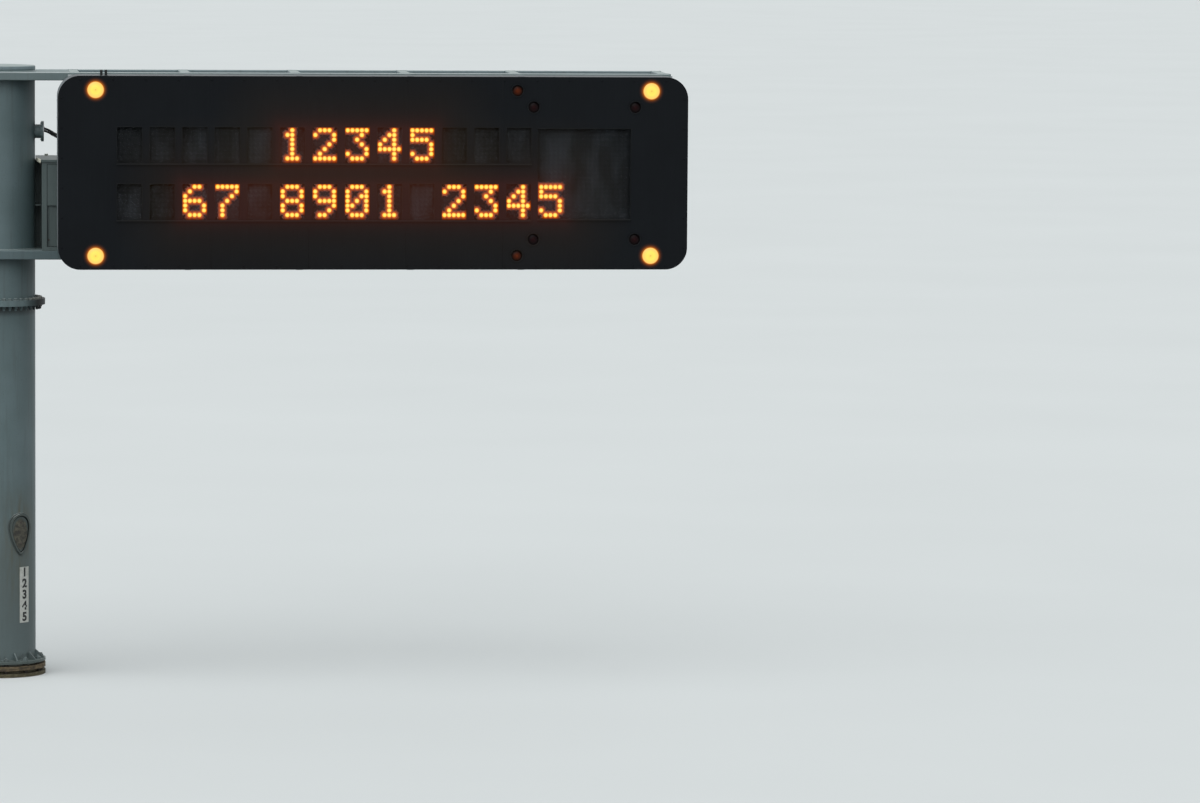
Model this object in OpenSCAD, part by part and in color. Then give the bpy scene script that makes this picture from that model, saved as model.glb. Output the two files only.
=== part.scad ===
// Cantilever variable message sign for a fast road.
// A round steel column carries a ladder frame of square tubes, and the black
// display housing is hung on the front of that frame, clear of the column.
// Millimetres, +Z up. The traffic looks along +Y and the sign reaches out along +X.
// The origin is the centre of the anchor plate's underside, on the column's axis.

/* [Column] */
// Outer diameter of the column tube
column_d = 711; // [690:1:711]
// Wall of the column tube
column_wall = 12.5; // [8:0.5:20]
// Height of the bolted joint's meeting plane
joint_z = 3780; // [3400:10:3900]
// Outer diameter of the two joint flanges
joint_d = 910; // [880:5:960]
// Thickness of each joint flange
joint_t = 30; // [20:1:40]
// Height of the upper tube's top end
column_top_z = 6124; // [6110:1:6300]
// Height of the cap's skirt
cap_h = 32; // [20:1:50]

/* [Foundation] */
// Outer diameter of the base flange and of the two foundation plates
flange_d = 910; // [900:5:1000]
// Thickness of the base flange
flange_t = 24; // [20:1:40]
// Height of the packing under the base flange
packing_t = 24; // [16:1:40]
// Thickness of the foundation's upper plate
foundation_t = 42; // [30:1:60]
// Height of the spacer between the foundation's two plates
bedding_t = 32; // [20:1:40]
// Thickness of the foundation's lower plate, which the anchor cage ends in
anchor_plate_t = 36; // [30:1:60]
// Outer diameter of the packing and the spacer, inside the anchor bolts
packing_d = 765; // [740:5:765]
// Diameter of the cable duct's entry in that plate
duct_d = 150; // [100:5:160]
// Distance of the duct's centre behind the column's axis
duct_y = 150; // [120:5:170]
// Circle of the anchor bolts
anchor_pcd = 820; // [815:1:840]
// Clearance hole for each anchor bolt
anchor_hole_d = 42; // [36:1:46]
// Number of anchor bolts, and of gussets between them
anchor_count = 12; // [8:1:12]
// Turn of the first gusset round the column
gusset_turn = 22; // [0:1:30]
// Height of a gusset
gusset_h = 78; // [70:1:160]
// Reach of a gusset out from the column
gusset_w = 86; // [70:1:90]
// Thickness of a gusset
gusset_t = 12; // [10:1:20]

/* [Hand hole] */
// Greatest width of the egg-shaped opening
hatch_w = 208; // [180:4:220]
// Height of the opening
hatch_h = 370; // [350:5:420]
// How strongly the opening narrows towards its foot
hatch_taper = 0.4; // [0.2:0.05:0.5]
// Height of the opening's middle
hatch_z = 1444; // [1200:1:1600]
// Angle of the opening round the column, from the traffic side towards the sign
hatch_angle = 34; // [15:1:40]
// Width of the welded rim
hatch_rim = 20; // [14:1:28]
// Width of the number plate strip under the opening
plate_w = 118; // [80:2:140]
// Height of the number plate strip
plate_h = 565; // [400:5:600]
// Height of the number plate strip's centre
plate_z = 824; // [700:1:900]
// Angle of the number plate strip round the column
plate_angle = 42; // [20:1:48]

/* [Support frame] */
// Depth of the frame's rails
rail_depth = 100; // [90:5:110]
// Height of the top rails and top cross members
top_rail_h = 80; // [70:5:90]
// Height of the bottom rails and bottom cross members
bottom_rail_h = 90; // [80:5:100]
// Wall of the rails, posts and cross members
rail_wall = 6; // [5:0.5:8]
// Height of the top rails' upper face
top_rail_z = 6100; // [6095:1:6105]
// Height of the bottom rails' underside
bottom_rail_z = 4225; // [4220:1:4230]
// Left end of the rails
frame_left = -480; // [-500:1:-470]
// Right end of the rails
frame_right = 6740; // [6700:10:6800]
// First cross member's centre line
bay_start = 745; // [740:1:750]
// Distance between cross members
bay_pitch = 1111; // [1105:1:1115]
// Number of cross members between the first and the last bay
bay_count = 5; // [5:1:5]
// Thickness of the collar plates round the column
collar_t = 20; // [15:1:25]

/* [Display housing] */
// Width of the black face
face_w = 6300; // [6290:10:6320]
// Height of the black face
face_h = 1930; // [1920:5:1940]
// Corner radius of the face and housing
face_r = 220; // [200:5:240]
// Thickness of the face panel
face_t = 10; // [8:1:12]
// Left edge of the face
face_left = 565; // [560:1:570]
// Lower edge of the face
face_bottom = 4157; // [4155:1:4160]
// Depth of the housing behind the face panel
housing_depth = 470; // [440:10:480]
// Sheet thickness of the housing
sheet_t = 4; // [3:0.5:6]
// Gap between the housing's back and the frame
cleat_gap = 20; // [15:1:25]

/* [Windows] */
// Width of a character window
char_w = 260; // [250:1:270]
// Height of a character window
char_h = 370; // [360:1:380]
// Distance between character windows
char_pitch = 324; // [320:1:325]
// Number of character windows in a row
char_count = 13; // [13:1:13]
// Centre line of the first character window
char_start = 1274; // [1270:1:1280]
// Height of the upper row's centre
upper_row_z = 5399; // [5395:1:5405]
// Height of the lower row's centre
lower_row_z = 4834; // [4830:1:4840]
// Centre line of the matrix window
matrix_x = 5821; // [5815:1:5825]
// Height of the matrix window's centre
matrix_z = 5118; // [5115:1:5120]
// Width of the matrix window
matrix_w = 944; // [930:1:950]
// Height of the matrix window
matrix_h = 914; // [900:1:920]

/* [Lanterns] */
// Diameter of the corner lanterns' apertures
lantern_d = 160; // [140:5:165]
// Diameter of the small lanterns' apertures
small_lantern_d = 110; // [100:5:120]
// Corner lanterns' distance from the face's ends
lantern_in = 372; // [360:1:380]
// Corner lanterns' distance from the face's upper and lower edges
lantern_down = 139; // [135:1:145]
// Centre line of the spare amber lanterns
spare_x = 5146; // [5140:1:5155]
// Red lanterns' distance to each side of the matrix window's centre
red_dx = 511; // [505:1:515]
// Red lanterns' distance above and below the face's centre
red_dz = 662; // [655:1:670]

/* [Cabinet] */
// Left side of the equipment cabinet
cabinet_left = 416; // [410:1:425]
// Height of the cabinet's body
cabinet_h = 890; // [850:10:920]
// Thickness of the cabinet's sheet
cabinet_t = 3; // [2:0.5:5]
// Width of the door's frame at the left
stile_w = 49; // [40:1:60]

/* [Hidden] */
$fn = 96;

column_r = column_d / 2;
foundation_z = anchor_plate_t + bedding_t;
packing_z = foundation_z + foundation_t;
flange_z = packing_z + packing_t;
column_z = flange_z + flange_t;
foot_bore = column_d - 60;
joint_bottom_z = joint_z - joint_t;
joint_top_z = joint_z + joint_t;
weld_gap = 4.5;
frame_y = column_r + weld_gap + rail_depth / 2;
rail_front_y = -frame_y - rail_depth / 2;
inner_y = frame_y - rail_depth / 2;
top_rail_low_z = top_rail_z - top_rail_h;
bottom_rail_top_z = bottom_rail_z + bottom_rail_h;
member_w = 100;
member_xs = concat([frame_left + member_w / 2],
  [for (i = [0 : bay_count - 1]) bay_start + i * bay_pitch], [frame_right - member_w / 2]);
post_xs = [for (i = [1 : len(member_xs) - 1]) member_xs[i]];
post_w = 80;

housing_back_y = rail_front_y - cleat_gap;
housing_front_y = housing_back_y - housing_depth;
face_front_y = housing_front_y - face_t;
face_cx = face_left + face_w / 2;
face_cz = face_bottom + face_h / 2;
face_right = face_left + face_w;
face_top = face_bottom + face_h;
char_xs = [for (i = [0 : char_count - 1]) char_start + i * char_pitch];
row_zs = [lower_row_z, upper_row_z];
row_left = char_start - char_w / 2;
row_w = (char_count - 1) * char_pitch + char_w;
pane_t = 5;
pane_lap = 12;
tray_lap = 20;
tray_d = 60;
tray_wall = 3;
board_d = 30;

lantern_xs = [face_left + lantern_in, face_right - lantern_in];
lantern_zs = [face_bottom + lantern_down, face_top - lantern_down];
red_xs = [matrix_x - red_dx, matrix_x + red_dx];
red_zs = [face_cz - red_dz, face_cz + red_dz];

back_band_h = 215;
door_bottom_z = face_bottom + back_band_h;
door_top_z = face_top - back_band_h;
mullion_w = 90;
door_t = 12;
door_lap = 12;
door_rim = 56;
door_dish = 5;

cabinet_right = bay_start - post_w / 2;
cabinet_w = cabinet_right - cabinet_left;
cabinet_z = bottom_rail_top_z;
cabinet_top_z = cabinet_z + cabinet_h;
cabinet_d = 2 * inner_y + 2 * rail_depth;
pocket_w = cabinet_w - stile_w - 40;
pocket_d = 28;

stub_z = 5492;
stub_d = 140;
stub_end_x = 432;
stub_flange_d = 206;
stub_flange_t = 16;
cable_r = 11;
cable_points = [[432, 0, 5510], [462, -12, 5504], [494, -44, 5492], [524, -96, 5476],
  [550, -170, 5464], [576, -280, 5455], [606, -390, 5448], [640, -480, 5442]];

paint = [0.42, 0.49, 0.49];
paint_light = [0.55, 0.60, 0.60];
black = [0.11, 0.11, 0.12];
galvanised = [0.62, 0.64, 0.64];

// A round plate or ring lying flat, its underside at z.
module ring(d, bore, t, z) {
  translate([0, 0, z]) difference() {
    cylinder(d = d, h = t);
    if (bore > 0) translate([0, 0, -1]) cylinder(d = bore, h = t + 2);
  }
}

// Holes on the anchor circle, half a step away from the gussets.
module anchor_holes() {
  step = 360 / anchor_count;
  for (i = [0 : anchor_count - 1]) rotate(gusset_turn + (i + 0.5) * step)
    translate([anchor_pcd / 2, 0, -1]) cylinder(d = anchor_hole_d, h = column_z + 2);
}

// The hand hole's egg about its middle, grown all round. Its widest place, at the sine
// widest, is where the outline's formula peaks.
module egg(grow) {
  widest = (sqrt(1 + 8 * hatch_taper ^ 2) - 1) / (4 * hatch_taper);
  peak = sqrt(1 - widest ^ 2) * (1 + hatch_taper * widest);
  half_w = (hatch_w / 2 + grow) / peak;
  half_h = hatch_h / 2 + grow;
  polygon([for (a = [0 : 6 : 354])
    [half_w * cos(a) * (1 + hatch_taper * sin(a)), half_h * sin(a)]]);
}

// Pushes a flat shape through the column's skin at the hand hole.
module at_hand_hole() {
  reach = 60;
  translate([0, 0, hatch_z]) rotate(hatch_angle) translate([0, reach - column_r, 0])
    rotate([90, 0, 0]) linear_extrude(2 * reach) children();
}

// The part of a tube's skin, from radius r0 to r1, that lies inside the children.
module skin(r0, r1, z0, z1) {
  intersection() {
    difference() {
      translate([0, 0, z0]) cylinder(r = r1, h = z1 - z0);
      translate([0, 0, z0 - 1]) cylinder(r = r0, h = z1 - z0 + 2);
    }
    children();
  }
}

// A rectangle about the origin with corners of radius r.
module round_rect(w, h, r) {
  square([w, h - 2 * r], center = true);
  square([w - 2 * r, h], center = true);
  for (sx = [-1, 1], sy = [-1, 1])
    translate([sx * (w / 2 - r), sy * (h / 2 - r)]) circle(r = r);
}

// A rolled hollow section, w by h about the Z axis, with open ends.
module hollow_section(w, h, length) {
  outer_r = 1.5 * rail_wall;
  linear_extrude(length) difference() {
    round_rect(w, h, outer_r);
    round_rect(w - 2 * rail_wall, h - 2 * rail_wall, outer_r - rail_wall);
  }
}

// The rounded outline of the face, in the XZ plane's own coordinates.
module face_outline(inset = 0) {
  round_rect(face_w - 2 * inset, face_h - 2 * inset, face_r - inset);
}

// Stands a flat outline upright at the face's centre, from y0 towards -Y.
module upright(y0, t) {
  translate([face_cx, y0, face_cz]) rotate([90, 0, 0]) linear_extrude(t) children();
}

// The foundation's lower plate, with the cable duct's entry.
module anchor_plate() {
  color("saddlebrown") difference() {
    ring(flange_d, 0, anchor_plate_t, 0);
    anchor_holes();
    translate([0, duct_y, -1]) cylinder(d = duct_d, h = anchor_plate_t + 2);
  }
}

module bedding_ring() {
  color("dimgray") ring(packing_d, foot_bore, bedding_t, anchor_plate_t);
}

// The foundation's upper plate, on its spacer.
module foundation_flange() {
  color("sienna") difference() {
    ring(flange_d, foot_bore, foundation_t, foundation_z);
    anchor_holes();
  }
}

module packing_ring() {
  color("dimgray") ring(packing_d, foot_bore, packing_t, packing_z);
}

module base_flange() {
  color(paint) difference() {
    ring(flange_d, foot_bore, flange_t, flange_z);
    anchor_holes();
  }
}

module base_gussets() {
  lip = 12;
  color(paint) for (i = [0 : anchor_count - 1])
    rotate(gusset_turn + i * 360 / anchor_count)
      translate([0, gusset_t / 2, column_z]) rotate([90, 0, 0]) linear_extrude(gusset_t)
        polygon([[column_r, 0], [column_r + gusset_w, 0], [column_r + gusset_w, lip],
          [column_r + lip, gusset_h], [column_r, gusset_h]]);
}

module lower_column() {
  color(paint) difference() {
    ring(column_d, column_d - 2 * column_wall, joint_bottom_z - column_z, column_z);
    at_hand_hole() egg(0);
  }
}

module hand_hole_rim() {
  color(paint) skin(column_r, column_r + 22, hatch_z - hatch_h, hatch_z + hatch_h)
    at_hand_hole() difference() {
      egg(hatch_rim);
      egg(0);
    }
}

module hand_hole_cover() {
  color(paint_light) skin(column_r - 2, column_r + 8, hatch_z - hatch_h, hatch_z + hatch_h)
    at_hand_hole() egg(0);
}

module number_plate() {
  color("whitesmoke") skin(column_r, column_r + 3, plate_z - plate_h, plate_z + plate_h)
    rotate(plate_angle) translate([-plate_w / 2, -column_r - 20, plate_z - plate_h / 2])
      cube([plate_w, 60, plate_h]);
}

module lower_joint_flange() {
  color(paint) ring(joint_d, column_d - 2 * column_wall, joint_t, joint_bottom_z);
}

module upper_joint_flange() {
  color(paint) ring(joint_d, column_d - 2 * column_wall, joint_t, joint_z);
}

module upper_column() {
  color(paint)
    ring(column_d, column_d - 2 * column_wall, column_top_z - joint_top_z, joint_top_z);
}

module column_cap() {
  lid_r = column_r + 4;
  edge = 10;
  rise = 9;
  color(paint_light) translate([0, 0, column_top_z]) rotate_extrude()
    polygon([[0, 0], [lid_r, 0], [lid_r, cap_h - edge], [lid_r - edge * 0.3, cap_h - edge * 0.3],
      [lid_r - edge, cap_h], [lid_r * 0.6, cap_h + rise * 0.75], [0, cap_h + rise]]);
}

// One rail along X: side is -1 for the front and 1 for the rear.
module rail(side, h, z) {
  color(paint_light) translate([frame_left, side * frame_y, z + h / 2]) rotate([90, 0, 90])
    hollow_section(rail_depth, h, frame_right - frame_left);
}

module top_front_rail() { rail(-1, top_rail_h, top_rail_low_z); }
module top_rear_rail() { rail(1, top_rail_h, top_rail_low_z); }
module bottom_front_rail() { rail(-1, bottom_rail_h, bottom_rail_z); }
module bottom_rear_rail() { rail(1, bottom_rail_h, bottom_rail_z); }

// The cross members of one ladder, welded between its two rails.
module cross_members(h, z) {
  color(paint_light) for (x = member_xs) translate([x, inner_y, z + h / 2])
    rotate([90, 0, 0]) hollow_section(member_w, h, 2 * inner_y);
}

module top_cross_members() { cross_members(top_rail_h, top_rail_low_z); }
module bottom_cross_members() { cross_members(bottom_rail_h, bottom_rail_z); }

// A plate that fills the ladder round the column and is welded to it.
module collar_plate(z) {
  left = member_xs[0] + member_w / 2;
  right = member_xs[1] - member_w / 2;
  color(paint_light) translate([0, 0, z]) difference() {
    translate([left, -inner_y, 0]) cube([right - left, 2 * inner_y, collar_t]);
    translate([0, 0, -1]) cylinder(r = column_r, h = collar_t + 2);
  }
}

module top_collar_plate() { collar_plate(top_rail_z - collar_t); }
module bottom_collar_plate() { collar_plate(bottom_rail_top_z - collar_t); }

// The posts of the front or rear plane, between the bottom and top rails.
module posts(side) {
  h = top_rail_low_z - bottom_rail_top_z;
  color(paint_light) for (x = post_xs) translate([x, side * frame_y, bottom_rail_top_z])
    hollow_section(post_w, post_w, h);
}

module front_posts() { posts(-1); }
module rear_posts() { posts(1); }

module rail_end_plates() {
  t = 8;
  color(paint_light) for (side = [-1, 1], x = [frame_left - t, frame_right])
    translate([x, side * frame_y - rail_depth / 2, 0]) {
      translate([0, 0, top_rail_low_z]) cube([t, rail_depth, top_rail_h]);
      translate([0, 0, bottom_rail_z]) cube([t, rail_depth, bottom_rail_h]);
    }
}

module housing_cleats() {
  w = 140;
  color(galvanised) for (x = post_xs)
    for (z = [bottom_rail_z, top_rail_low_z])
      translate([x - w / 2, housing_back_y, z]) cube([w, cleat_gap, 60]);
}

// The housing's four flat sheets; the corner sheets join them.
module housing_sheets() {
  w = face_w - 2 * face_r;
  h = face_h - 2 * face_r;
  color(paint_light) {
    for (z = [face_bottom, face_top - sheet_t])
      translate([face_left + face_r, housing_front_y, z])
        cube([w, housing_depth, sheet_t]);
    for (x = [face_left, face_right - sheet_t])
      translate([x, housing_front_y, face_bottom + face_r])
        cube([sheet_t, housing_depth, h]);
  }
}

module housing_corners() {
  color(paint_light) for (sx = [-1, 1], sz = [-1, 1])
    translate([face_cx + sx * (face_w / 2 - face_r), housing_back_y,
        face_cz + sz * (face_h / 2 - face_r)])
      rotate([90, 0, 0]) rotate(sx > 0 ? (sz > 0 ? 0 : 270) : (sz > 0 ? 90 : 180))
        intersection() {
          difference() {
            cylinder(r = face_r, h = housing_depth);
            translate([0, 0, -1]) cylinder(r = face_r - sheet_t, h = housing_depth + 2);
          }
          cube([face_r, face_r, housing_depth]);
        }
}

// The back's upper and lower bands, set inside the housing's sheets.
module back_bands() {
  color(paint_light) upright(housing_back_y, sheet_t) intersection() {
    face_outline(sheet_t);
    for (s = [-1, 1]) translate([0, s * (face_h / 2 - back_band_h / 2)])
      square([face_w, back_band_h], center = true);
  }
}

// The back's uprights behind the frame's posts, and the wider ones at its two ends.
module back_mullions() {
  h = door_top_z - door_bottom_z;
  left_end = face_left + sheet_t;
  right_end = face_right - sheet_t;
  first = post_xs[0] + mullion_w / 2;
  last = post_xs[bay_count] - mullion_w / 2;
  color(paint_light) translate([0, housing_back_y - sheet_t, door_bottom_z]) {
    translate([left_end, 0, 0]) cube([first - left_end, sheet_t, h]);
    for (i = [1 : bay_count - 1]) translate([post_xs[i] - mullion_w / 2, 0, 0])
      cube([mullion_w, sheet_t, h]);
    translate([last, 0, 0]) cube([right_end - last, sheet_t, h]);
  }
}

// One door leaf in each bay, lapping over the bands and mullions, its panel dished.
module rear_doors() {
  h = door_top_z - door_bottom_z + 2 * door_lap;
  color(paint_light) for (i = [0 : bay_count - 1]) {
    w = post_xs[i + 1] - post_xs[i] - mullion_w + 2 * door_lap;
    translate([(post_xs[i] + post_xs[i + 1]) / 2, housing_back_y + door_t, face_cz])
      rotate([90, 0, 0]) difference() {
        linear_extrude(door_t) square([w, h], center = true);
        translate([0, 0, -1]) linear_extrude(door_dish + 1)
          round_rect(w - 2 * door_rim, h - 2 * door_rim, 30);
      }
  }
}

module door_handles() {
  color("black") for (i = [1 : bay_count])
    translate([post_xs[i] - mullion_w / 2 - 40, housing_back_y + door_t, face_cz - 70])
      cube([24, 14, 140]);
}

module door_hinges() {
  color(galvanised) for (i = [0 : bay_count - 1], z = [-1, 0, 1])
    translate([post_xs[i] + mullion_w / 2 - door_lap - 12, housing_back_y,
        face_cz + z * 560 - 50])
      cube([12, 16, 100]);
}

// A rain hood with a row of louvres, slanting down and out.
module louvred_hood(w, h, d) {
  slots = 6;
  pitch = 20;
  margin = 18;
  difference() {
    rotate([90, 0, 90]) linear_extrude(w) polygon([[0, 0], [d, 0], [d, h * 0.72], [0, h]]);
    for (k = [0 : slots - 1]) translate([margin, d / 2, margin + k * pitch])
      rotate([-30, 0, 0]) cube([w - 2 * margin, d, pitch / 2]);
  }
}

module vent_covers() {
  w = 260;
  h = 200;
  color(paint_light) for (i = [0 : bay_count - 1], z = [-470, 470])
    translate([(post_xs[i] + post_xs[i + 1] - w) / 2,
        housing_back_y + door_t - door_dish, face_cz + z - h / 2])
      louvred_hood(w, h, 18);
}

// All the apertures of the face, as flat shapes about the face's centre.
module face_openings() {
  for (x = char_xs, z = row_zs)
    translate([x - face_cx, z - face_cz]) square([char_w, char_h], center = true);
  translate([matrix_x - face_cx, matrix_z - face_cz])
    square([matrix_w, matrix_h], center = true);
  for (x = lantern_xs, z = lantern_zs)
    translate([x - face_cx, z - face_cz]) circle(d = lantern_d);
  for (z = lantern_zs) translate([spare_x - face_cx, z - face_cz])
    circle(d = small_lantern_d);
  for (x = red_xs, z = red_zs)
    translate([x - face_cx, z - face_cz]) circle(d = small_lantern_d);
}

module face_panel() {
  color(black) upright(housing_front_y, face_t) difference() {
    face_outline();
    face_openings();
  }
}

module window_sills() {
  t = 10;
  reach = 14;
  color("gray") {
    for (z = row_zs) translate([row_left, face_front_y - reach, z - char_h / 2 - t])
      cube([row_w, reach, t]);
    translate([matrix_x - matrix_w / 2, face_front_y - reach, matrix_z - matrix_h / 2 - t])
      cube([matrix_w, reach, t]);
  }
}

// A pane behind an opening of w by h, lapping over the face panel's back.
module pane(x, z, w, h) {
  translate([x - w / 2 - pane_lap, housing_front_y, z - h / 2 - pane_lap])
    cube([w + 2 * pane_lap, pane_t, h + 2 * pane_lap]);
}

module window_panes() {
  color([0.2, 0.2, 0.22, 0.5]) {
    for (x = char_xs, z = row_zs) pane(x, z, char_w, char_h);
    pane(matrix_x, matrix_z, matrix_w, matrix_h);
  }
}

// A tray round an opening of w by h: its rim seats on the face panel's back, and its
// floor is the circuit board that carries the dots.
module tray(x, z, w, h) {
  outer_w = w + 2 * tray_lap;
  outer_h = h + 2 * tray_lap;
  translate([x - outer_w / 2, housing_front_y, z - outer_h / 2]) difference() {
    cube([outer_w, tray_d, outer_h]);
    translate([tray_wall, -1, tray_wall])
      cube([outer_w - 2 * tray_wall, tray_d - board_d + 1, outer_h - 2 * tray_wall]);
  }
}

module display_trays() {
  color("black") {
    for (z = row_zs) tray(row_left + row_w / 2, z, row_w, char_h);
    tray(matrix_x, matrix_z, matrix_w, matrix_h);
  }
}

// A lamp in a round aperture of diameter d: a body, a flange that seats on the face
// panel's back, and a lens domed by rise.
module lantern(x, z, d, rise) {
  body_r = d / 2 - 4;
  flange_r = d / 2 + 8;
  lens = 4;
  translate([x, housing_front_y, z]) rotate([90, 0, 0]) rotate_extrude()
    polygon([[0, -80], [body_r * 0.7, -80], [body_r, -20], [body_r, -6], [flange_r, -6],
      [flange_r, 0], [body_r, 0], [body_r, lens], [body_r * 0.84, lens + rise * 0.45],
      [body_r * 0.5, lens + rise * 0.86], [0, lens + rise]]);
}

module corner_lanterns() {
  color("gold") for (x = lantern_xs, z = lantern_zs) lantern(x, z, lantern_d, 14);
}

module spare_lanterns() {
  color("orangered") for (z = lantern_zs) lantern(spare_x, z, small_lantern_d, 11);
}

module red_lanterns() {
  color("darkred") for (x = red_xs, z = red_zs) lantern(x, z, small_lantern_d, 11);
}

// A ring round an aperture with a short hood over its upper half.
module bezel(x, z, d) {
  wide = 11;
  proud = 6;
  hood = 24;
  translate([x, face_front_y, z]) rotate([90, 0, 0]) {
    difference() {
      cylinder(d = d + 2 * wide, h = proud);
      translate([0, 0, -1]) cylinder(d = d, h = proud + 2);
    }
    intersection() {
      difference() {
        cylinder(d = d + 2 * wide, h = hood);
        translate([0, 0, -1]) cylinder(d = d + 2 * wide - 8, h = hood + 2);
      }
      translate([-d, d * 0.12, 0]) cube([2 * d, d, hood + 1]);
    }
  }
}

module lantern_bezels() {
  color("black") {
    for (x = lantern_xs, z = lantern_zs) bezel(x, z, lantern_d);
    for (z = lantern_zs) bezel(spare_x, z, small_lantern_d);
    for (x = red_xs, z = red_zs) bezel(x, z, small_lantern_d);
  }
}

module top_lugs() {
  x = face_left + 420;
  color("black") for (dx = [0, 46]) translate([x + dx, housing_front_y + 60, face_top])
    difference() {
      cube([24, 90, 55]);
      translate([-1, 45, 32]) rotate([0, 90, 0]) cylinder(d = 22, h = 26);
    }
}

// The cabinet's shell, with a pocket in its front for the two doors.
module equipment_cabinet() {
  color(paint_light) translate([cabinet_left, rail_front_y, cabinet_z]) difference() {
    cube([cabinet_w, cabinet_d, cabinet_h]);
    translate([cabinet_t, pocket_d + cabinet_t, cabinet_t])
      cube([cabinet_w - 2 * cabinet_t, cabinet_d - pocket_d - 2 * cabinet_t,
        cabinet_h - 2 * cabinet_t]);
    translate([stile_w, -1, 40]) cube([pocket_w, pocket_d + 1, cabinet_h - 60]);
  }
}

// The cabinet's lid, which reaches over the upper bracket plate almost to the column.
module cabinet_cover() {
  over = 12;
  rim = 20;
  left = column_r + over;
  back_y = rail_front_y + cabinet_d;
  color(paint_light) translate([0, 0, cabinet_top_z]) difference() {
    linear_extrude(22) polygon([[left, back_y + over], [left, 0],
      [cabinet_left - over, rail_front_y - over], [cabinet_right, rail_front_y - over],
      [cabinet_right, back_y + over]]);
    translate([cabinet_left + rim, rail_front_y + rim, -1])
      cube([cabinet_w - 2 * rim, cabinet_d - 2 * rim, 13]);
  }
}

// The lower door is a flat sheet deep in the pocket; the upper one is a shallow box.
module cabinet_doors() {
  gap = 2;
  sheet = 4;
  w = pocket_w - 2 * gap;
  half = (cabinet_h - 60) / 2;
  color(paint) translate([cabinet_left + stile_w + gap, rail_front_y, cabinet_z + 40]) {
    translate([0, pocket_d - sheet, gap]) cube([w, sheet, half - 2 * gap]);
    translate([0, 0, half]) cube([w, pocket_d, half - gap]);
  }
}

// A web plate that ties the cabinet to the column, a shelf across it, and a plate under
// the lid that runs from the column's flank to the cabinet's front corner.
module cabinet_bracket() {
  web_y = 180;
  web_t = 8;
  plate_t = 14;
  shelf_y = -40;
  reach_y = rail_front_y + 8;
  color(paint) difference() {
    union() {
      translate([0, web_y, cabinet_z]) cube([cabinet_left, web_t, cabinet_h]);
      translate([0, shelf_y, cabinet_z + 0.48 * cabinet_h])
        cube([cabinet_left, web_y - shelf_y, plate_t]);
      translate([0, 0, cabinet_top_z - plate_t]) linear_extrude(plate_t)
        polygon([[0, 0], [column_r, 0], [cabinet_left, reach_y], [cabinet_left, web_y],
          [0, web_y]]);
    }
    translate([0, 0, cabinet_z - 1]) cylinder(r = column_r, h = cabinet_h + 2);
  }
}

// The pipe that brings the cables out of the column, shaped to the tube at its root.
module cable_stub() {
  start = column_r - 20;
  color(paint) difference() {
    translate([start, 0, stub_z]) rotate([0, 90, 0]) union() {
      cylinder(d = stub_d, h = stub_end_x - start);
      translate([0, 0, stub_end_x - stub_flange_t - start])
        cylinder(d = stub_flange_d, h = stub_flange_t);
    }
    translate([0, 0, stub_z - stub_d]) cylinder(r = column_r, h = 2 * stub_d);
  }
}

// A round cable of radius r swept along the points with eight sides.
module cable(points, r) {
  n = len(points);
  sides = 8;
  dirs = [for (i = [0 : n - 1])
    let (d = points[min(i + 1, n - 1)] - points[max(i - 1, 0)]) d / norm(d)];
  rings = [for (i = [0 : n - 1])
    let (side = cross(dirs[i], [0, 0, 1]), u = side / norm(side), v = cross(u, dirs[i]))
      for (k = [0 : sides - 1])
        points[i] + r * (cos(k * 360 / sides) * u + sin(k * 360 / sides) * v)];
  walls = [for (i = [0 : n - 2], k = [0 : sides - 1])
    let (a = i * sides + k, b = i * sides + (k + 1) % sides)
      [a, a + sides, b + sides, b]];
  ends = [[for (k = [0 : sides - 1]) k],
    [for (k = [sides - 1 : -1 : 0]) (n - 1) * sides + k]];
  polyhedron(points = rings, faces = concat(walls, ends));
}

module sign_cables() {
  half_gap = cable_r + 1;
  color("black") for (dz = [-half_gap, half_gap])
    cable([for (p = cable_points) p + [0, 0, dz]], cable_r);
}

anchor_plate();
bedding_ring();
foundation_flange();
packing_ring();
base_flange();
base_gussets();
lower_column();
hand_hole_rim();
hand_hole_cover();
number_plate();
lower_joint_flange();
upper_joint_flange();
upper_column();
column_cap();
top_front_rail();
top_rear_rail();
top_cross_members();
top_collar_plate();
bottom_front_rail();
bottom_rear_rail();
bottom_cross_members();
bottom_collar_plate();
front_posts();
rear_posts();
rail_end_plates();
housing_cleats();
housing_sheets();
housing_corners();
back_bands();
back_mullions();
rear_doors();
door_handles();
door_hinges();
vent_covers();
face_panel();
window_sills();
window_panes();
display_trays();
corner_lanterns();
spare_lanterns();
red_lanterns();
lantern_bezels();
top_lugs();
equipment_cabinet();
cabinet_cover();
cabinet_doors();
cabinet_bracket();
cable_stub();
sign_cables();
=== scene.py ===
import math

import bmesh
import bpy
from mathutils import Matrix, Vector


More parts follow.
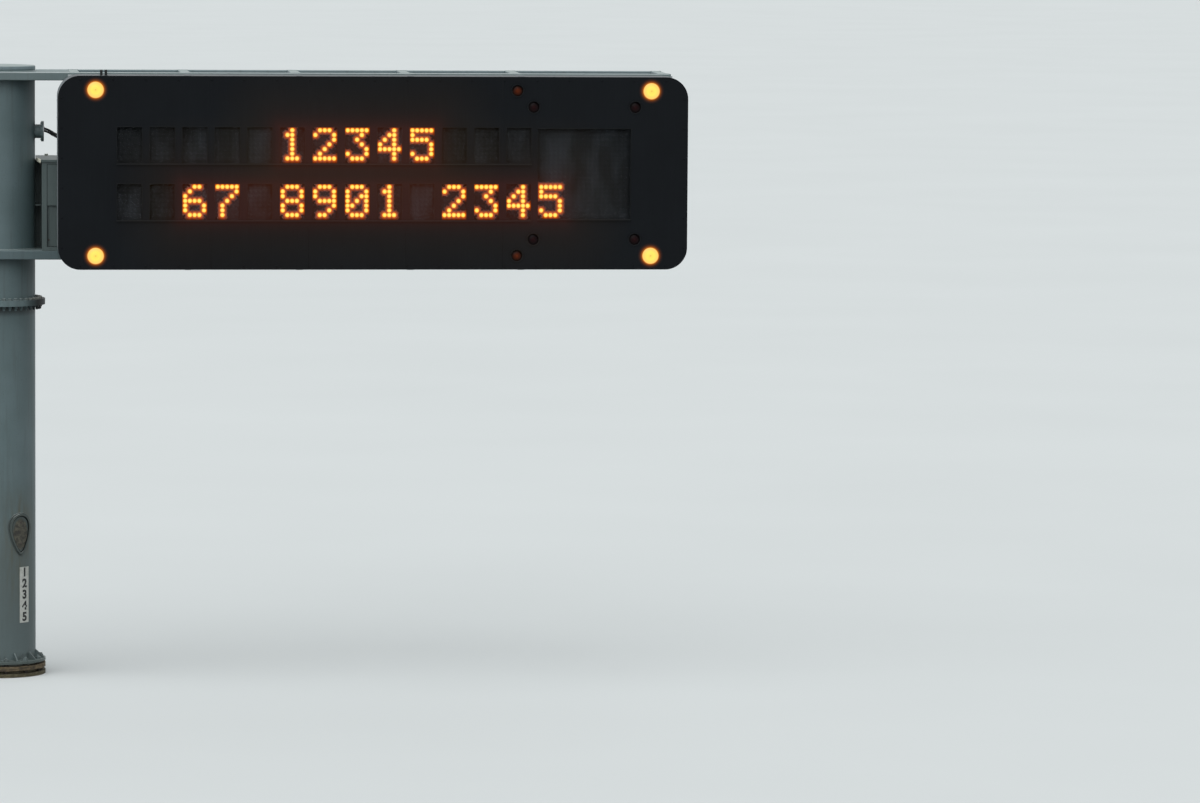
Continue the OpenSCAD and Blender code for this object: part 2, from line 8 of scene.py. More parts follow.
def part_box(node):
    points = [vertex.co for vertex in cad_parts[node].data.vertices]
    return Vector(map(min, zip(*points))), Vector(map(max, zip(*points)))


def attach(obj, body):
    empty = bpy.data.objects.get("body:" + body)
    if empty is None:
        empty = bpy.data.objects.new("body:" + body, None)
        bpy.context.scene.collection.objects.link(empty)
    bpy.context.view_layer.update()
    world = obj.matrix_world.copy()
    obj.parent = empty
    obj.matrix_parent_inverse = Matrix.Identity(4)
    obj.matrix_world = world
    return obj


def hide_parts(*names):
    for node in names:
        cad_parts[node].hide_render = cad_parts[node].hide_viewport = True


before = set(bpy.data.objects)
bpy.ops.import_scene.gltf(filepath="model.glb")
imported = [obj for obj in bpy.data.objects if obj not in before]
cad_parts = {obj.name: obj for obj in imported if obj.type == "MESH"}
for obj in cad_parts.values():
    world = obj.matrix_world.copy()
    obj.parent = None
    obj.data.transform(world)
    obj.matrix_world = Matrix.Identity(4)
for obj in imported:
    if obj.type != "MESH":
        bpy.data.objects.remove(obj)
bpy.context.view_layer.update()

# A cantilever variable message sign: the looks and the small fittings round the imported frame.
# Metres in the mesh, millimetres in the settings. The traffic looks along +Y.


# Helpers

def mm(value):
    return value / 1000


def pairs(*points):  # points given in millimetres, in metres
    return [(mm(a), mm(b)) for a, b in points]


def perMetre(size):  # a texture's Scale for features of that many millimetres
    return 1000 / size


def ink(code):  # an sRGB hex colour as linear RGBA
    parts = [int(code[i:i + 2], 16) / 255 for i in (1, 3, 5)]
    return tuple(p / 12.92 if p <= 0.04045 else ((p + 0.055) / 1.055) ** 2.4 for p in parts) + (1,)


def addNode(tree, kind, inputs=(), output=0, stops=(), **settings):
    node = tree.nodes.new("ShaderNode" + kind)
    for name, value in settings.items():
        setattr(node, name, value)
    for index, (position, code) in enumerate(stops):
        marks = node.color_ramp.elements
        mark = marks[index] if index < len(marks) else marks.new(position)
        mark.position = position
        mark.color = ink(code)
    for name, value in dict(inputs).items():
        if isinstance(value, bpy.types.NodeSocket):
            tree.links.new(value, node.inputs[name])
        else:
            node.inputs[name].default_value = value
    return node.outputs[output]


def newMaterial(name, **plain):  # plain values go straight on the shader's own sockets
    material = bpy.data.materials.new(name)
    material.use_nodes = True
    tree = material.node_tree
    for socket, value in plain.items():
        tree.nodes["Principled BSDF"].inputs[socket.replace("_", " ")].default_value = value
    return material, tree, addNode(tree, "TexCoord", output="Object")


def dressed(material, **fed):  # links what feeds the shader's sockets
    tree = material.node_tree
    for socket, value in fed.items():
        tree.links.new(value, tree.nodes["Principled BSDF"].inputs[socket.replace("_", " ")])
    return material


def layered(tree, colour, layers):  # tones over a colour, each where its value runs from low to high
    for value, low, high, most, tone in layers:
        mask = addNode(tree, "MapRange", {"Value": value, "From Min": low, "From Max": high, "To Max": most})
        colour = addNode(tree, "MixRGB", {"Fac": mask, "Color1": colour, "Color2": ink(tone)})
    return colour


def clearSelection():
    if bpy.context.object and bpy.context.object.mode != "OBJECT":
        bpy.ops.object.mode_set(mode="OBJECT")
    bpy.ops.object.select_all(action="DESELECT")


def pick(piece):
    clearSelection()
    piece.select_set(True)
    bpy.context.view_layer.objects.active = piece


def link(name, data):  # a new object in the scene
    piece = bpy.data.objects.new(name, data)
    bpy.context.scene.collection.objects.link(piece)
    return piece


def applyPlace(piece):  # puts the object's place into its mesh
    pick(piece)
    bpy.ops.object.transform_apply(location=True, rotation=True, scale=True)


def applyAll(piece):
    pick(piece)
    for modifier in list(piece.modifiers):
        bpy.ops.object.modifier_apply(modifier=modifier.name)


def editParts(piece, kind, wanted=lambda part: True):  # edit mode with the wanted faces or edges selected
    pick(piece)
    bpy.ops.object.mode_set(mode="EDIT")
    bpy.ops.mesh.select_mode(type=kind)
    bpy.ops.mesh.select_all(action="DESELECT")
    mesh = bmesh.from_edit_mesh(piece.data)
    for part in mesh.faces if kind == "FACE" else mesh.edges:
        part.select_set(bool(wanted(part)))
    bmesh.update_edit_mesh(piece.data)


def bevelled(piece, width, segments=2, angle=35):
    piece.modifiers.new("edges", "BEVEL").width = width
    piece.modifiers["edges"].segments = segments
    piece.modifiers["edges"].angle_limit = math.radians(angle)
    applyAll(piece)


def settle(piece, name, material, smooth=30):
    applyPlace(piece)
    bpy.ops.object.shade_smooth_by_angle(angle=math.radians(smooth))
    piece.name = name
    piece.data.name = name
    piece.data.materials.clear()
    piece.data.materials.append(material)
    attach(piece, "root")
    return piece


def joined(parts):
    clearSelection()
    for part in parts:
        part.select_set(True)
    bpy.context.view_layer.objects.active = parts[0]
    if len(parts) > 1:
        bpy.ops.object.join()
    return parts[0]


def repeated(model, places):  # copies of a modelled shape, one at each matrix, in one mesh; the model goes
    applyPlace(model)
    shape = model.data
    corners = [v.co.copy() for v in shape.vertices]
    loops = [tuple(p.vertices) for p in shape.polygons]
    radial = [d.value for d in shape.attributes["radial"].data] if "radial" in shape.attributes else None
    points = [place @ corner for place in places for corner in corners]
    faces = [tuple(i + n * len(corners) for i in loop) for n in range(len(places)) for loop in loops]
    mesh = bpy.data.meshes.new("copies")
    mesh.from_pydata(points, [], faces)
    if radial:
        values = mesh.attributes.new("radial", "FLOAT", "POINT")
        values.data.foreach_set("value", radial * len(places))
    piece = link("copies", mesh)
    bpy.data.objects.remove(model)
    return piece


def facing(position, direction=(0, -1, 0), turn=0):  # a matrix that stands a shape's +Z along a direction
    look = Vector(direction).to_track_quat("Z", "Y").to_matrix().to_4x4()
    return Matrix.Translation(position) @ look @ Matrix.Rotation(math.radians(turn), 4, "Z")


def lathe(profile, steps):  # spins (radius, height) points round Z; "radial" runs from 0 at the axis to 1
    clearSelection()
    mesh = bpy.data.meshes.new("lathe")
    mesh.from_pydata([(r, 0, z) for r, z in profile], [(i, i + 1) for i in range(len(profile) - 1)], [])
    piece = link("lathe", mesh)
    pick(piece)
    bpy.ops.object.mode_set(mode="EDIT")
    bpy.ops.mesh.select_all(action="SELECT")
    bpy.ops.mesh.spin(steps=steps, angle=2 * math.pi, center=(0, 0, 0), axis=(0, 0, 1))
    bpy.ops.mesh.select_all(action="SELECT")
    bpy.ops.mesh.remove_doubles(threshold=0.00001)
    bpy.ops.mesh.normals_make_consistent(inside=False)
    bpy.ops.object.mode_set(mode="OBJECT")
    widest = max(r for r, z in profile)
    values = mesh.attributes.new("radial", "FLOAT", "POINT")
    values.data.foreach_set("value", [math.hypot(v.co.x, v.co.y) / widest for v in mesh.vertices])
    return piece


def hexPrism(acrossFlats, height, base, chamfer):  # a nut or a head with its upper corners taken off
    clearSelection()
    bpy.ops.mesh.primitive_cylinder_add(vertices=6, radius=acrossFlats / math.sqrt(3), depth=height,
                                        location=(0, 0, base + height / 2))
    prism = bpy.context.object
    applyPlace(prism)
    top = base + height
    editParts(prism, "EDGE", lambda e: all(v.co.z > top - 1e-6 for v in e.verts))
    bpy.ops.mesh.bevel(offset=chamfer, segments=1)
    bpy.ops.object.mode_set(mode="OBJECT")
    return prism


def washer(outer, inner, thick):
    return lathe([(inner, 0), (outer, 0), (outer, thick * 0.7), (outer - thick * 0.3, thick), (inner, thick),
                  (inner, 0)], 24)


def hexBolt(flats, head, washerRadius):
    return joined([washer(washerRadius, flats * 0.3, mm(3)), hexPrism(flats, head, mm(3), flats * 0.07)])


def threadedEnd(radius, low, high, pitch):  # a rod with the ridges of its thread, and a pointed end
    ridges = int((high - low) / pitch)
    profile = [(0, low), (radius * 0.92, low)]
    for i in range(ridges):
        profile += [(radius, low + (i + 0.5) * pitch), (radius * 0.9, low + (i + 1) * pitch)]
    return lathe(profile + [(radius * 0.75, high + pitch * 0.4), (0, high + pitch * 0.4)], 14)


def wrapped(piece, radius, angle, height):  # bends a shape drawn upright in XZ, facing -Y, round the column
    applyPlace(piece)
    for corner in piece.data.vertices:
        turn = math.radians(angle) + math.asin(corner.co.x / radius)
        out = radius - corner.co.y
        corner.co = (out * math.sin(turn), -out * math.cos(turn), height + corner.co.z)
    return piece


def bandRing(sheet, band, thick, edge):  # a flat sheet facing -Y becomes a ring inside its outline
    editParts(sheet, "FACE")
    bpy.ops.mesh.inset(thickness=band, use_even_offset=True)
    bpy.ops.mesh.delete(type="FACE")
    bpy.ops.object.mode_set(mode="OBJECT")
    wall = sheet.modifiers.new("wall", "SOLIDIFY")
    wall.thickness = thick
    wall.offset = 1
    applyAll(sheet)
    bevelled(sheet, edge)
    return sheet


def bandFrame(width, height, band, thick, edge):  # an upright rectangular ring, its back at y = 0
    clearSelection()
    bpy.ops.mesh.primitive_plane_add(size=1, rotation=(math.pi / 2, 0, 0))
    sheet = bpy.context.object
    sheet.scale = (width, height, 1)
    applyPlace(sheet)
    return bandRing(sheet, band, thick, edge)


def bevelledBox(low, high, edge, segments=2):
    clearSelection()
    size = [b - a for a, b in zip(low, high)]
    bpy.ops.mesh.primitive_cube_add(size=1, location=[(a + b) / 2 for a, b in zip(low, high)])
    box = bpy.context.object
    box.scale = size
    applyPlace(box)
    bevelled(box, edge, segments)
    return box


def rippled(piece, depth, length):  # the scales of a weld bead
    ripple = bpy.data.textures.new("ripple", "CLOUDS")
    ripple.noise_scale = length
    press = piece.modifiers.new("press", "DISPLACE")
    press.texture = ripple
    press.texture_coords = "LOCAL"
    press.strength = depth
    press.mid_level = 0.5
    applyAll(piece)
    return piece


weldStep = {
    "scale": mm(14),  # length of a bead's scales
    "ring": 220,  # steps round the column
    "cut": mm(12),  # between the cuts of a straight bead
}


def weldRing(radius, height, thick):
    clearSelection()
    bpy.ops.mesh.primitive_torus_add(location=(0, 0, height), major_radius=radius, minor_radius=thick,
                                     major_segments=weldStep["ring"], minor_segments=8)
    return rippled(bpy.context.object, thick * 0.5, weldStep["scale"])


def weldLine(start, end, thick):
    start, end = Vector(start), Vector(end)
    run = end - start
    clearSelection()
    bpy.ops.mesh.primitive_cylinder_add(vertices=8, radius=thick, depth=run.length)
    bead = bpy.context.object
    half = run.length / 2
    editParts(bead, "EDGE", lambda e: abs(e.verts[0].co.z - e.verts[1].co.z) > half)
    bpy.ops.mesh.subdivide(number_cuts=max(2, int(run.length / weldStep["cut"])))
    bpy.ops.object.mode_set(mode="OBJECT")
    bead.data.transform(facing((start + end) / 2, run))
    return rippled(bead, thick * 0.5, weldStep["scale"])


# Camera and light

cameraPlace = {
    "eye": (-0.762, -62.707, 8.351),
    "yaw": 6.245,  # degrees towards +X
    "pitch": 5.082,  # degrees down
    "roll": 0.39,
    "lens": 186,
}


def makeCamera():
    data = bpy.data.cameras.new("camera")
    data.lens = cameraPlace["lens"]
    data.sensor_width = 36
    data.clip_end = 2000
    camera = link("camera", data)
    turn = (Matrix.Rotation(math.radians(-cameraPlace["yaw"]), 4, "Z")
            @ Matrix.Rotation(math.radians(90 - cameraPlace["pitch"]), 4, "X")
            @ Matrix.Rotation(math.radians(cameraPlace["roll"]), 4, "Z"))
    camera.matrix_world = Matrix.Translation(cameraPlace["eye"]) @ turn
    bpy.context.scene.camera = camera


studio = {
    "floorSeen": ("#C6CACA", "#CBCFCF"),
    "floorBounce": "#272A2B",  # darker underfoot, as a road is
    "floorRadius": 700,
    "sky": "#E4E8EA",
    "skySeen": 0.86,
    "skyStrength": 0.72,
    "suns": [  # direction the light comes from, strength, softness in degrees
        ((-0.7, -1.0, 1.6), 1.95, 80),
        ((1.0, -0.5, 0.8), 0.3, 60),
        ((0.4, 1.0, 0.9), 0.3, 60),
    ],
}


def backdropRays(tree):  # 1 for a ray that shows the backdrop itself, 0 for one that only carries light
    path = tree.nodes.new("ShaderNodeLightPath")
    seen = addNode(tree, "Math", {0: path.outputs["Is Camera Ray"], 1: path.outputs["Is Glossy Ray"]},
                   operation="ADD")
    return addNode(tree, "Math", {0: seen, 1: path.outputs["Is Transmission Ray"]}, operation="ADD",
                   use_clamp=True)


def makeStudio():
    world = bpy.data.worlds.new("studio")
    bpy.context.scene.world = world
    world.use_nodes = True
    tree = world.node_tree
    tree.nodes.clear()
    strength = addNode(tree, "MapRange", {"Value": backdropRays(tree), "To Min": studio["skyStrength"],
                                          "To Max": studio["skySeen"]})
    sky = addNode(tree, "Background", {"Color": ink(studio["sky"]), "Strength": strength})
    worldOutput = tree.nodes.new("ShaderNodeOutputWorld")
    tree.links.new(sky, worldOutput.inputs["Surface"])

    material, tree, place = newMaterial("paleFloor", Roughness=1.0, Specular_IOR_Level=0)
    cloudy = addNode(tree, "TexNoise", {"Vector": place, "Scale": 0.2}, "Fac")
    dim, light = [ink(code) for code in studio["floorSeen"]]
    pale = addNode(tree, "MixRGB", {"Fac": cloudy, "Color1": dim, "Color2": light})
    bounce = ink(studio["floorBounce"])
    colour = addNode(tree, "MixRGB", {"Fac": backdropRays(tree), "Color1": bounce, "Color2": pale})
    dressed(material, Base_Color=colour)
    clearSelection()
    bpy.ops.mesh.primitive_circle_add(vertices=96, radius=studio["floorRadius"], fill_type="NGON")
    floor = bpy.context.object
    floor.name = "floor"
    floor.data.materials.append(material)

    for number, (direction, strength, softness) in enumerate(studio["suns"]):
        data = bpy.data.lights.new("sun%d" % number, "SUN")
        data.energy = strength
        data.angle = math.radians(softness)
        lamp = link("sun%d" % number, data)
        lamp.matrix_world = facing((0, 0, 20), direction)
    bpy.context.scene.view_settings.view_transform = "Standard"


makeCamera()
makeStudio()
print("camera and studio")


# Materials

def weatheredPaint(name, look):  # rolled two-pack paint on steel: eggshell gloss, rain streaks, up-facing faces in their own tone (dust with painted light and shade)
    material, tree, place = newMaterial(name, Roughness=0.5, Specular_IOR_Level=look.get("shine", 0.5))
    patches = addNode(tree, "TexNoise", {"Vector": place, "Scale": perMetre(420), "Detail": 5}, "Fac")
    colour = addNode(tree, "ValToRGB", {"Fac": patches}, stops=[(0.3, look["deep"]), (0.7, look["pale"])])
    run = addNode(tree, "Mapping", {"Vector": place, "Scale": (1, 1, 0.05)})
    streaks = addNode(tree, "TexNoise", {"Vector": run, "Scale": perMetre(45), "Detail": 4, "Roughness": 0.6},
                      "Fac")
    specks = addNode(tree, "TexNoise", {"Vector": place, "Scale": perMetre(14), "Detail": 3}, "Fac")
    # up-facing faces take their own tone: dust, with painted light where it is paler than the paint and
    # painted shade where it is darker
    normal = addNode(tree, "NewGeometry", output="Normal")
    up = addNode(tree, "SeparateXYZ", {"Vector": normal}, "Z")
    layers = [(streaks, 0.52, 0.74, look["streaks"], look["dirt"]), (specks, 0.62, 0.72, 0.35, look["dirt"]),
              (up, 0.6, 0.95, look["dust"], look["dustColour"])]
    if "far" in look:  # another tone on the half towards the sign
        side = addNode(tree, "SeparateXYZ", {"Vector": place}, "X")
        layers.append((side, 0.24, 0.38, 1, look["far"]))
    colour = layered(tree, colour, layers)
    rough = addNode(tree, "MapRange", {"Value": streaks, "To Min": look["smooth"], "To Max": look["rough"]})
    peel = addNode(tree, "TexNoise", {"Vector": place, "Scale": perMetre(7), "Detail": 2}, "Fac")
    bump = addNode(tree, "Bump", {"Height": peel, "Strength": 0.15, "Distance": mm(1)}, "Normal")
    return dressed(material, Base_Color=colour, Roughness=rough, Normal=bump)


def stainedColumnPaint(look):  # painted shadow below the joint, a darker tone and splashes low down, rust below the hand hole
    material = weatheredPaint("columnPaint", look)
    tree = material.node_tree
    colour = tree.nodes["Principled BSDF"].inputs["Base Color"].links[0].from_socket
    place = addNode(tree, "TexCoord", output="Object")
    height = addNode(tree, "SeparateXYZ", {"Vector": place}, "Z")

    def within(value, limits):  # fades a value out past each of the limits
        for measure, low, high in limits:
            limit = addNode(tree, "MapRange", {"Value": measure, "From Min": low, "From Max": high})
            value = addNode(tree, "Math", {0: value, 1: limit}, operation="MULTIPLY")
        return value

    # painted shadow: a dark band on the column just below the joint ring
    jointShadow = addNode(tree, "MapRange", {"Value": height, "From Min": 3.64, "From Max": 3.71, "To Max": 0.8})
    jointShadow = within(jointShadow, [(height, 3.752, 3.75)])
    colour = addNode(tree, "MixRGB", {"Fac": jointShadow, "Color1": colour, "Color2": ink(look["jointShadow"])})
    blots = addNode(tree, "TexNoise", {"Vector": place, "Scale": perMetre(90), "Detail": 6,
                                       "Roughness": 0.65}, "Fac")
    low = addNode(tree, "MapRange", {"Value": height, "From Min": 0.5, "From Max": 0.12, "To Min": -0.35,
                                     "To Max": 0.2})
    foot = addNode(tree, "Math", {0: blots, 1: low}, operation="ADD")
    # a darker tone towards the foot, and splash marks near it
    layers = [(height, 2.4, 0.9, 0.6, look["lowTone"]), (foot, 0.56, 0.68, 0.6, look["splash"])]
    colour = layered(tree, colour, layers)
    turned = addNode(tree, "Mapping", {"Vector": place, "Rotation": (0, 0, math.radians(-hatch["angle"]))})
    across = addNode(tree, "SeparateXYZ", {"Vector": turned}, "X")
    side = addNode(tree, "Math", {0: across}, operation="ABSOLUTE")
    outward = addNode(tree, "SeparateXYZ", {"Vector": turned}, "Y")
    run = addNode(tree, "Mapping", {"Vector": place, "Scale": (1, 1, 0.12)})
    drips = addNode(tree, "TexNoise", {"Vector": run, "Scale": perMetre(30), "Detail": 5}, "Fac")
    stain = addNode(tree, "MapRange", {"Value": drips, "From Min": 0.3, "From Max": 0.65, "To Max": 0.9})
    stain = within(stain, [(side, 0.24, 0.02), (height, 0.45, 1.35), (height, 1.95, 1.6), (outward, 0, -0.1)])
    colour = addNode(tree, "MixRGB", {"Fac": stain, "Color1": colour, "Color2": ink(look["rust"])})
    return dressed(material, Base_Color=colour)


def rustedFlange(name, fresh, old):  # flame-cut steel plate, its paint gone: brown rust with pale bloom
    material, tree, place = newMaterial(name, Roughness=0.85)
    layers = addNode(tree, "Mapping", {"Vector": place, "Scale": (1, 1, 4)})
    bloom = addNode(tree, "TexNoise", {"Vector": layers, "Scale": perMetre(60), "Detail": 8,
                                       "Roughness": 0.7}, "Fac")
    colour = addNode(tree, "ValToRGB", {"Fac": bloom}, stops=[(0.3, "#2E2621"), (0.45, old), (0.58, fresh),
                                                             (0.72, "#7D7A72")])
    scale = addNode(tree, "TexNoise", {"Vector": place, "Scale": perMetre(9), "Detail": 6}, "Fac")
    bump = addNode(tree, "Bump", {"Height": scale, "Strength": 0.6, "Distance": mm(2)}, "Normal")
    return dressed(material, Base_Color=colour, Normal=bump)


def packedGrout(name, light, dark):  # cement grout between the plates
    material, tree, place = newMaterial(name, Roughness=0.95)
    grain = addNode(tree, "TexNoise", {"Vector": place, "Scale": perMetre(12), "Detail": 8}, "Fac")
    colour = addNode(tree, "ValToRGB", {"Fac": grain}, stops=[(0.3, dark), (0.7, light)])
    bump = addNode(tree, "Bump", {"Height": grain, "Strength": 0.7, "Distance": mm(2)}, "Normal")
    return dressed(material, Base_Color=colour, Normal=bump)


def stainedCover(paint, rustDark, rustPale):  # the hand hole's cover: old paint, rusting from its middle
    material, tree, place = newMaterial("coverPaint", Roughness=0.6)
    turned = addNode(tree, "Mapping", {"Vector": place, "Rotation": (0, 0, math.radians(-hatch["angle"]))})
    halfWide, halfTall = hatch["width"] / 2, hatch["tall"] / 2
    egg = addNode(tree, "Mapping", {"Vector": turned, "Location": (0, 0, -hatch["height"] / halfTall),
                                    "Scale": (1 / halfWide, 0, 1 / halfTall)})
    outward = addNode(tree, "VectorMath", {0: egg}, "Value", operation="LENGTH")
    middle = addNode(tree, "MapRange", {"Value": outward, "From Min": 1.0, "From Max": 0.7})
    blots = addNode(tree, "TexNoise", {"Vector": place, "Scale": perMetre(34), "Detail": 6,
                                       "Roughness": 0.7}, "Fac")
    rust = addNode(tree, "Math", {0: middle, 1: blots}, operation="MULTIPLY")
    mask = addNode(tree, "MapRange", {"Value": rust, "From Min": 0.15, "From Max": 0.4})
    rustColour = addNode(tree, "ValToRGB", {"Fac": blots}, stops=[(0.4, rustDark), (0.6, rustPale)])
    colour = addNode(tree, "MixRGB", {"Fac": mask, "Color1": ink(paint), "Color2": rustColour})
    bump = addNode(tree, "Bump", {"Height": blots, "Strength": 0.4, "Distance": mm(2)}, "Normal")
    return dressed(material, Base_Color=colour, Normal=bump)


def plateSheet(name, light, dark):  # weathered white sheet or black print on the number strip
    material, tree, place = newMaterial(name, Roughness=0.45)
    grime = addNode(tree, "TexNoise", {"Vector": place, "Scale": perMetre(35), "Detail": 6,
                                       "Roughness": 0.65}, "Fac")
    colour = addNode(tree, "ValToRGB", {"Fac": grime}, stops=[(0.35, dark), (0.6, light)])
    beads = addNode(tree, "TexVoronoi", {"Vector": place, "Scale": perMetre(4)}, "Distance")
    bump = addNode(tree, "Bump", {"Height": beads, "Strength": 0.1, "Distance": mm(0.5)}, "Normal")
    return dressed(material, Base_Color=colour, Normal=bump)


def faceBlackCoat():  # fine-textured matt black powder coat with a film of road dust and dried rain
    material, tree, place = newMaterial("faceBlack", Roughness=0.7, Specular_IOR_Level=0.14)
    film = addNode(tree, "TexNoise", {"Vector": place, "Scale": perMetre(700), "Detail": 6, "Roughness": 0.6},
                   "Fac")
    colour = addNode(tree, "ValToRGB", {"Fac": film}, stops=[(0.3, "#0B0E12"), (0.7, "#101418")])
    run = addNode(tree, "Mapping", {"Vector": place, "Scale": (1, 1, 0.04)})
    streaks = addNode(tree, "TexNoise", {"Vector": run, "Scale": perMetre(30), "Detail": 5}, "Fac")
    colour = layered(tree, colour, [(streaks, 0.52, 0.8, 0.3, "#1E2226")])
    rough = addNode(tree, "MapRange", {"Value": streaks, "To Min": 0.6, "To Max": 0.85})
    grain = addNode(tree, "TexNoise", {"Vector": place, "Scale": perMetre(3), "Detail": 2}, "Fac")
    bump = addNode(tree, "Bump", {"Height": grain, "Strength": 0.2, "Distance": mm(0.5)}, "Normal")
    return dressed(material, Base_Color=colour, Roughness=rough, Normal=bump)


def clearPane():  # clear polycarbonate with a dull shine and a thin film of wiped dust
    material, tree, place = newMaterial("paneGlass", Roughness=0.3, IOR=1.45, Specular_IOR_Level=0.35)
    run = addNode(tree, "Mapping", {"Vector": place, "Scale": (1, 1, 0.35)})
    dust = addNode(tree, "TexNoise", {"Vector": run, "Scale": perMetre(200), "Detail": 4}, "Fac")
    colour = addNode(tree, "ValToRGB", {"Fac": dust}, stops=[(0.42, "#1A1E22"), (0.7, "#4A5056")])
    rough = addNode(tree, "MapRange", {"Value": dust, "To Min": 0.2, "To Max": 0.4})
    veil = addNode(tree, "MapRange", {"Value": dust, "From Min": 0.4, "From Max": 0.66, "To Min": 0.01,
                                      "To Max": 0.03})
    waves = addNode(tree, "TexNoise", {"Vector": place, "Scale": perMetre(160), "Detail": 1}, "Fac")
    bump = addNode(tree, "Bump", {"Height": waves, "Strength": 0.15, "Distance": mm(2)}, "Normal")
    return dressed(material, Base_Color=colour, Roughness=rough, Alpha=veil, Normal=bump)


def boardBlack(name, deep, pale):  # solder mask or matt resin, unevenly dusty
    material, tree, place = newMaterial(name, Roughness=0.6, Specular_IOR_Level=0.12)
    run = addNode(tree, "Mapping", {"Vector": place, "Scale": (1, 1, 0.35)})
    dust = addNode(tree, "TexNoise", {"Vector": run, "Scale": perMetre(200), "Detail": 4}, "Fac")
    colour = addNode(tree, "ValToRGB", {"Fac": dust}, stops=[(0.4, deep), (0.68, pale)])
    bump = addNode(tree, "Bump", {"Height": dust, "Strength": 0.1, "Distance": mm(1)}, "Normal")
    return dressed(material, Base_Color=colour, Normal=bump)


def glowingLens(name, stops, strength, base):  # a lit lens, and the painted glow round a lit dot: its colour runs from the core to the rim
    material, tree, place = newMaterial(name, Roughness=0.25, Base_Color=ink(base),
                                        Emission_Strength=strength)
    radial = addNode(tree, "Attribute", attribute_name="radial", output="Fac")
    glow = addNode(tree, "ValToRGB", {"Fac": radial}, stops=stops)
    facets = addNode(tree, "TexVoronoi", {"Vector": place, "Scale": perMetre(9)}, "Distance")
    bump = addNode(tree, "Bump", {"Height": facets, "Strength": 0.3, "Distance": mm(1)}, "Normal")
    return dressed(material, Emission_Color=glow, Normal=bump)


def dullLens(name, core, rim):  # an unlit coloured lens: deep colour, moulded prisms, a faint highlight
    material, tree, place = newMaterial(name, Roughness=0.3, IOR=1.49, Specular_IOR_Level=0.1)
    radial = addNode(tree, "Attribute", attribute_name="radial", output="Fac")
    tint = addNode(tree, "ValToRGB", {"Fac": radial}, stops=[(0.0, core), (0.9, rim)])
    prisms = addNode(tree, "TexVoronoi", {"Vector": place, "Scale": perMetre(8)}, "Distance")
    bump = addNode(tree, "Bump", {"Height": prisms, "Strength": 0.4, "Distance": mm(1)}, "Normal")
    return dressed(material, Base_Color=tint, Normal=bump)


def hotDipZinc(name, light, dark):  # hot-dip galvanising: dull spangle, a few white bloom patches
    material, tree, place = newMaterial(name, Metallic=0.75, Roughness=0.5)
    spangle = addNode(tree, "TexVoronoi", {"Vector": place, "Scale": perMetre(16)}, "Color")
    flake = addNode(tree, "SeparateColor", {"Color": spangle}, "Red")
    cloud = addNode(tree, "TexNoise", {"Vector": place, "Scale": perMetre(120), "Detail": 5}, "Fac")
    blend = addNode(tree, "MixRGB", {"Fac": 0.5, "Color1": flake, "Color2": cloud})
    colour = addNode(tree, "ValToRGB", {"Fac": blend}, stops=[(0.25, dark), (0.75, light)])
    rough = addNode(tree, "MapRange", {"Value": flake, "To Min": 0.38, "To Max": 0.62})
    return dressed(material, Base_Color=colour, Roughness=rough)


def mouldedBlack(name, tone, gloss, grain, worn="#2B2D2E"):  # moulded black plastic or rubber, fine grain
    material, tree, place = newMaterial(name, Roughness=gloss, Specular_IOR_Level=0.2)
    fade = addNode(tree, "TexNoise", {"Vector": place, "Scale": perMetre(80), "Detail": 5}, "Fac")
    colour = addNode(tree, "MixRGB", {"Fac": fade, "Color1": ink(tone), "Color2": ink(worn)})
    pores = addNode(tree, "TexNoise", {"Vector": place, "Scale": perMetre(grain), "Detail": 2}, "Fac")
    bump = addNode(tree, "Bump", {"Height": pores, "Strength": 0.2, "Distance": mm(0.5)}, "Normal")
    return dressed(material, Base_Color=colour, Normal=bump)


# Sizes that several pieces share, from the frame and from the sign's own grid

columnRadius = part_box("lower_column")[1].x
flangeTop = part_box("base_flange")[1].z
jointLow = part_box("lower_joint_flange")[0].z
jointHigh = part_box("upper_joint_flange")[1].z
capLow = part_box("column_cap")[0].z
faceLow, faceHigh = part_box("face_panel")
faceMiddle = (faceLow + faceHigh) / 2
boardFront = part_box("display_trays")[0].y + mm(30)
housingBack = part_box("housing_cleats")[0].y
doorLow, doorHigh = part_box("rear_doors")
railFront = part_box("top_front_rail")[0].y
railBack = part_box("top_rear_rail")[1].y
cabinetLow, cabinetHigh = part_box("equipment_cabinet")

hatch = {"angle": 34, "height": mm(1444), "width": mm(208), "tall": mm(370), "taper": 0.4}
characters = {"first": mm(1274), "pitch": mm(324), "rows": (mm(5399), mm(4834)), "width": mm(260),
              "height": mm(370), "count": 13}
matrix = {"x": mm(5821), "z": mm(5118), "width": mm(944), "height": mm(914)}
postPlaces = [mm(745 + 1111 * i) for i in range(5)] + [mm(6690)]
postHalf = mm(45)
railWidth = mm(100)

# dust and its colour tone the up-facing faces: paler tops are dust with painted light, darker tops (housing,
# joint ring) are dust with painted shade
columnLook = {"deep": "#586A6C", "pale": "#647679", "dirt": "#4A4B45", "streaks": 0.35, "dust": 0.5,
              "dustColour": "#A6AAA6", "smooth": 0.38, "rough": 0.62, "jointShadow": "#252A2A", "lowTone": "#535D5C",
              "splash": "#3F4644", "rust": "#524E3A"}
frameLook = {"deep": "#5E6D6E", "pale": "#6B7A7B", "dirt": "#495150", "streaks": 0.35, "dust": 0.7,
             "dustColour": "#B4BCBA", "smooth": 0.4, "rough": 0.6}
housingLook = {"deep": "#757B7E", "pale": "#80868A", "dirt": "#5A5D60", "streaks": 0.3, "dust": 0.85,
               "dustColour": "#4C5052", "smooth": 0.4, "rough": 0.6, "shine": 0.12}
cabinetLook = {"deep": "#4A5756", "pale": "#546160", "dirt": "#3D4443", "streaks": 0.4, "dust": 0.4,
               "dustColour": "#7C8481", "smooth": 0.42, "rough": 0.62}


def framedPaint(name, **changes):  # the frame's paint in other tones
    return weatheredPaint(name, {**frameLook, **changes})


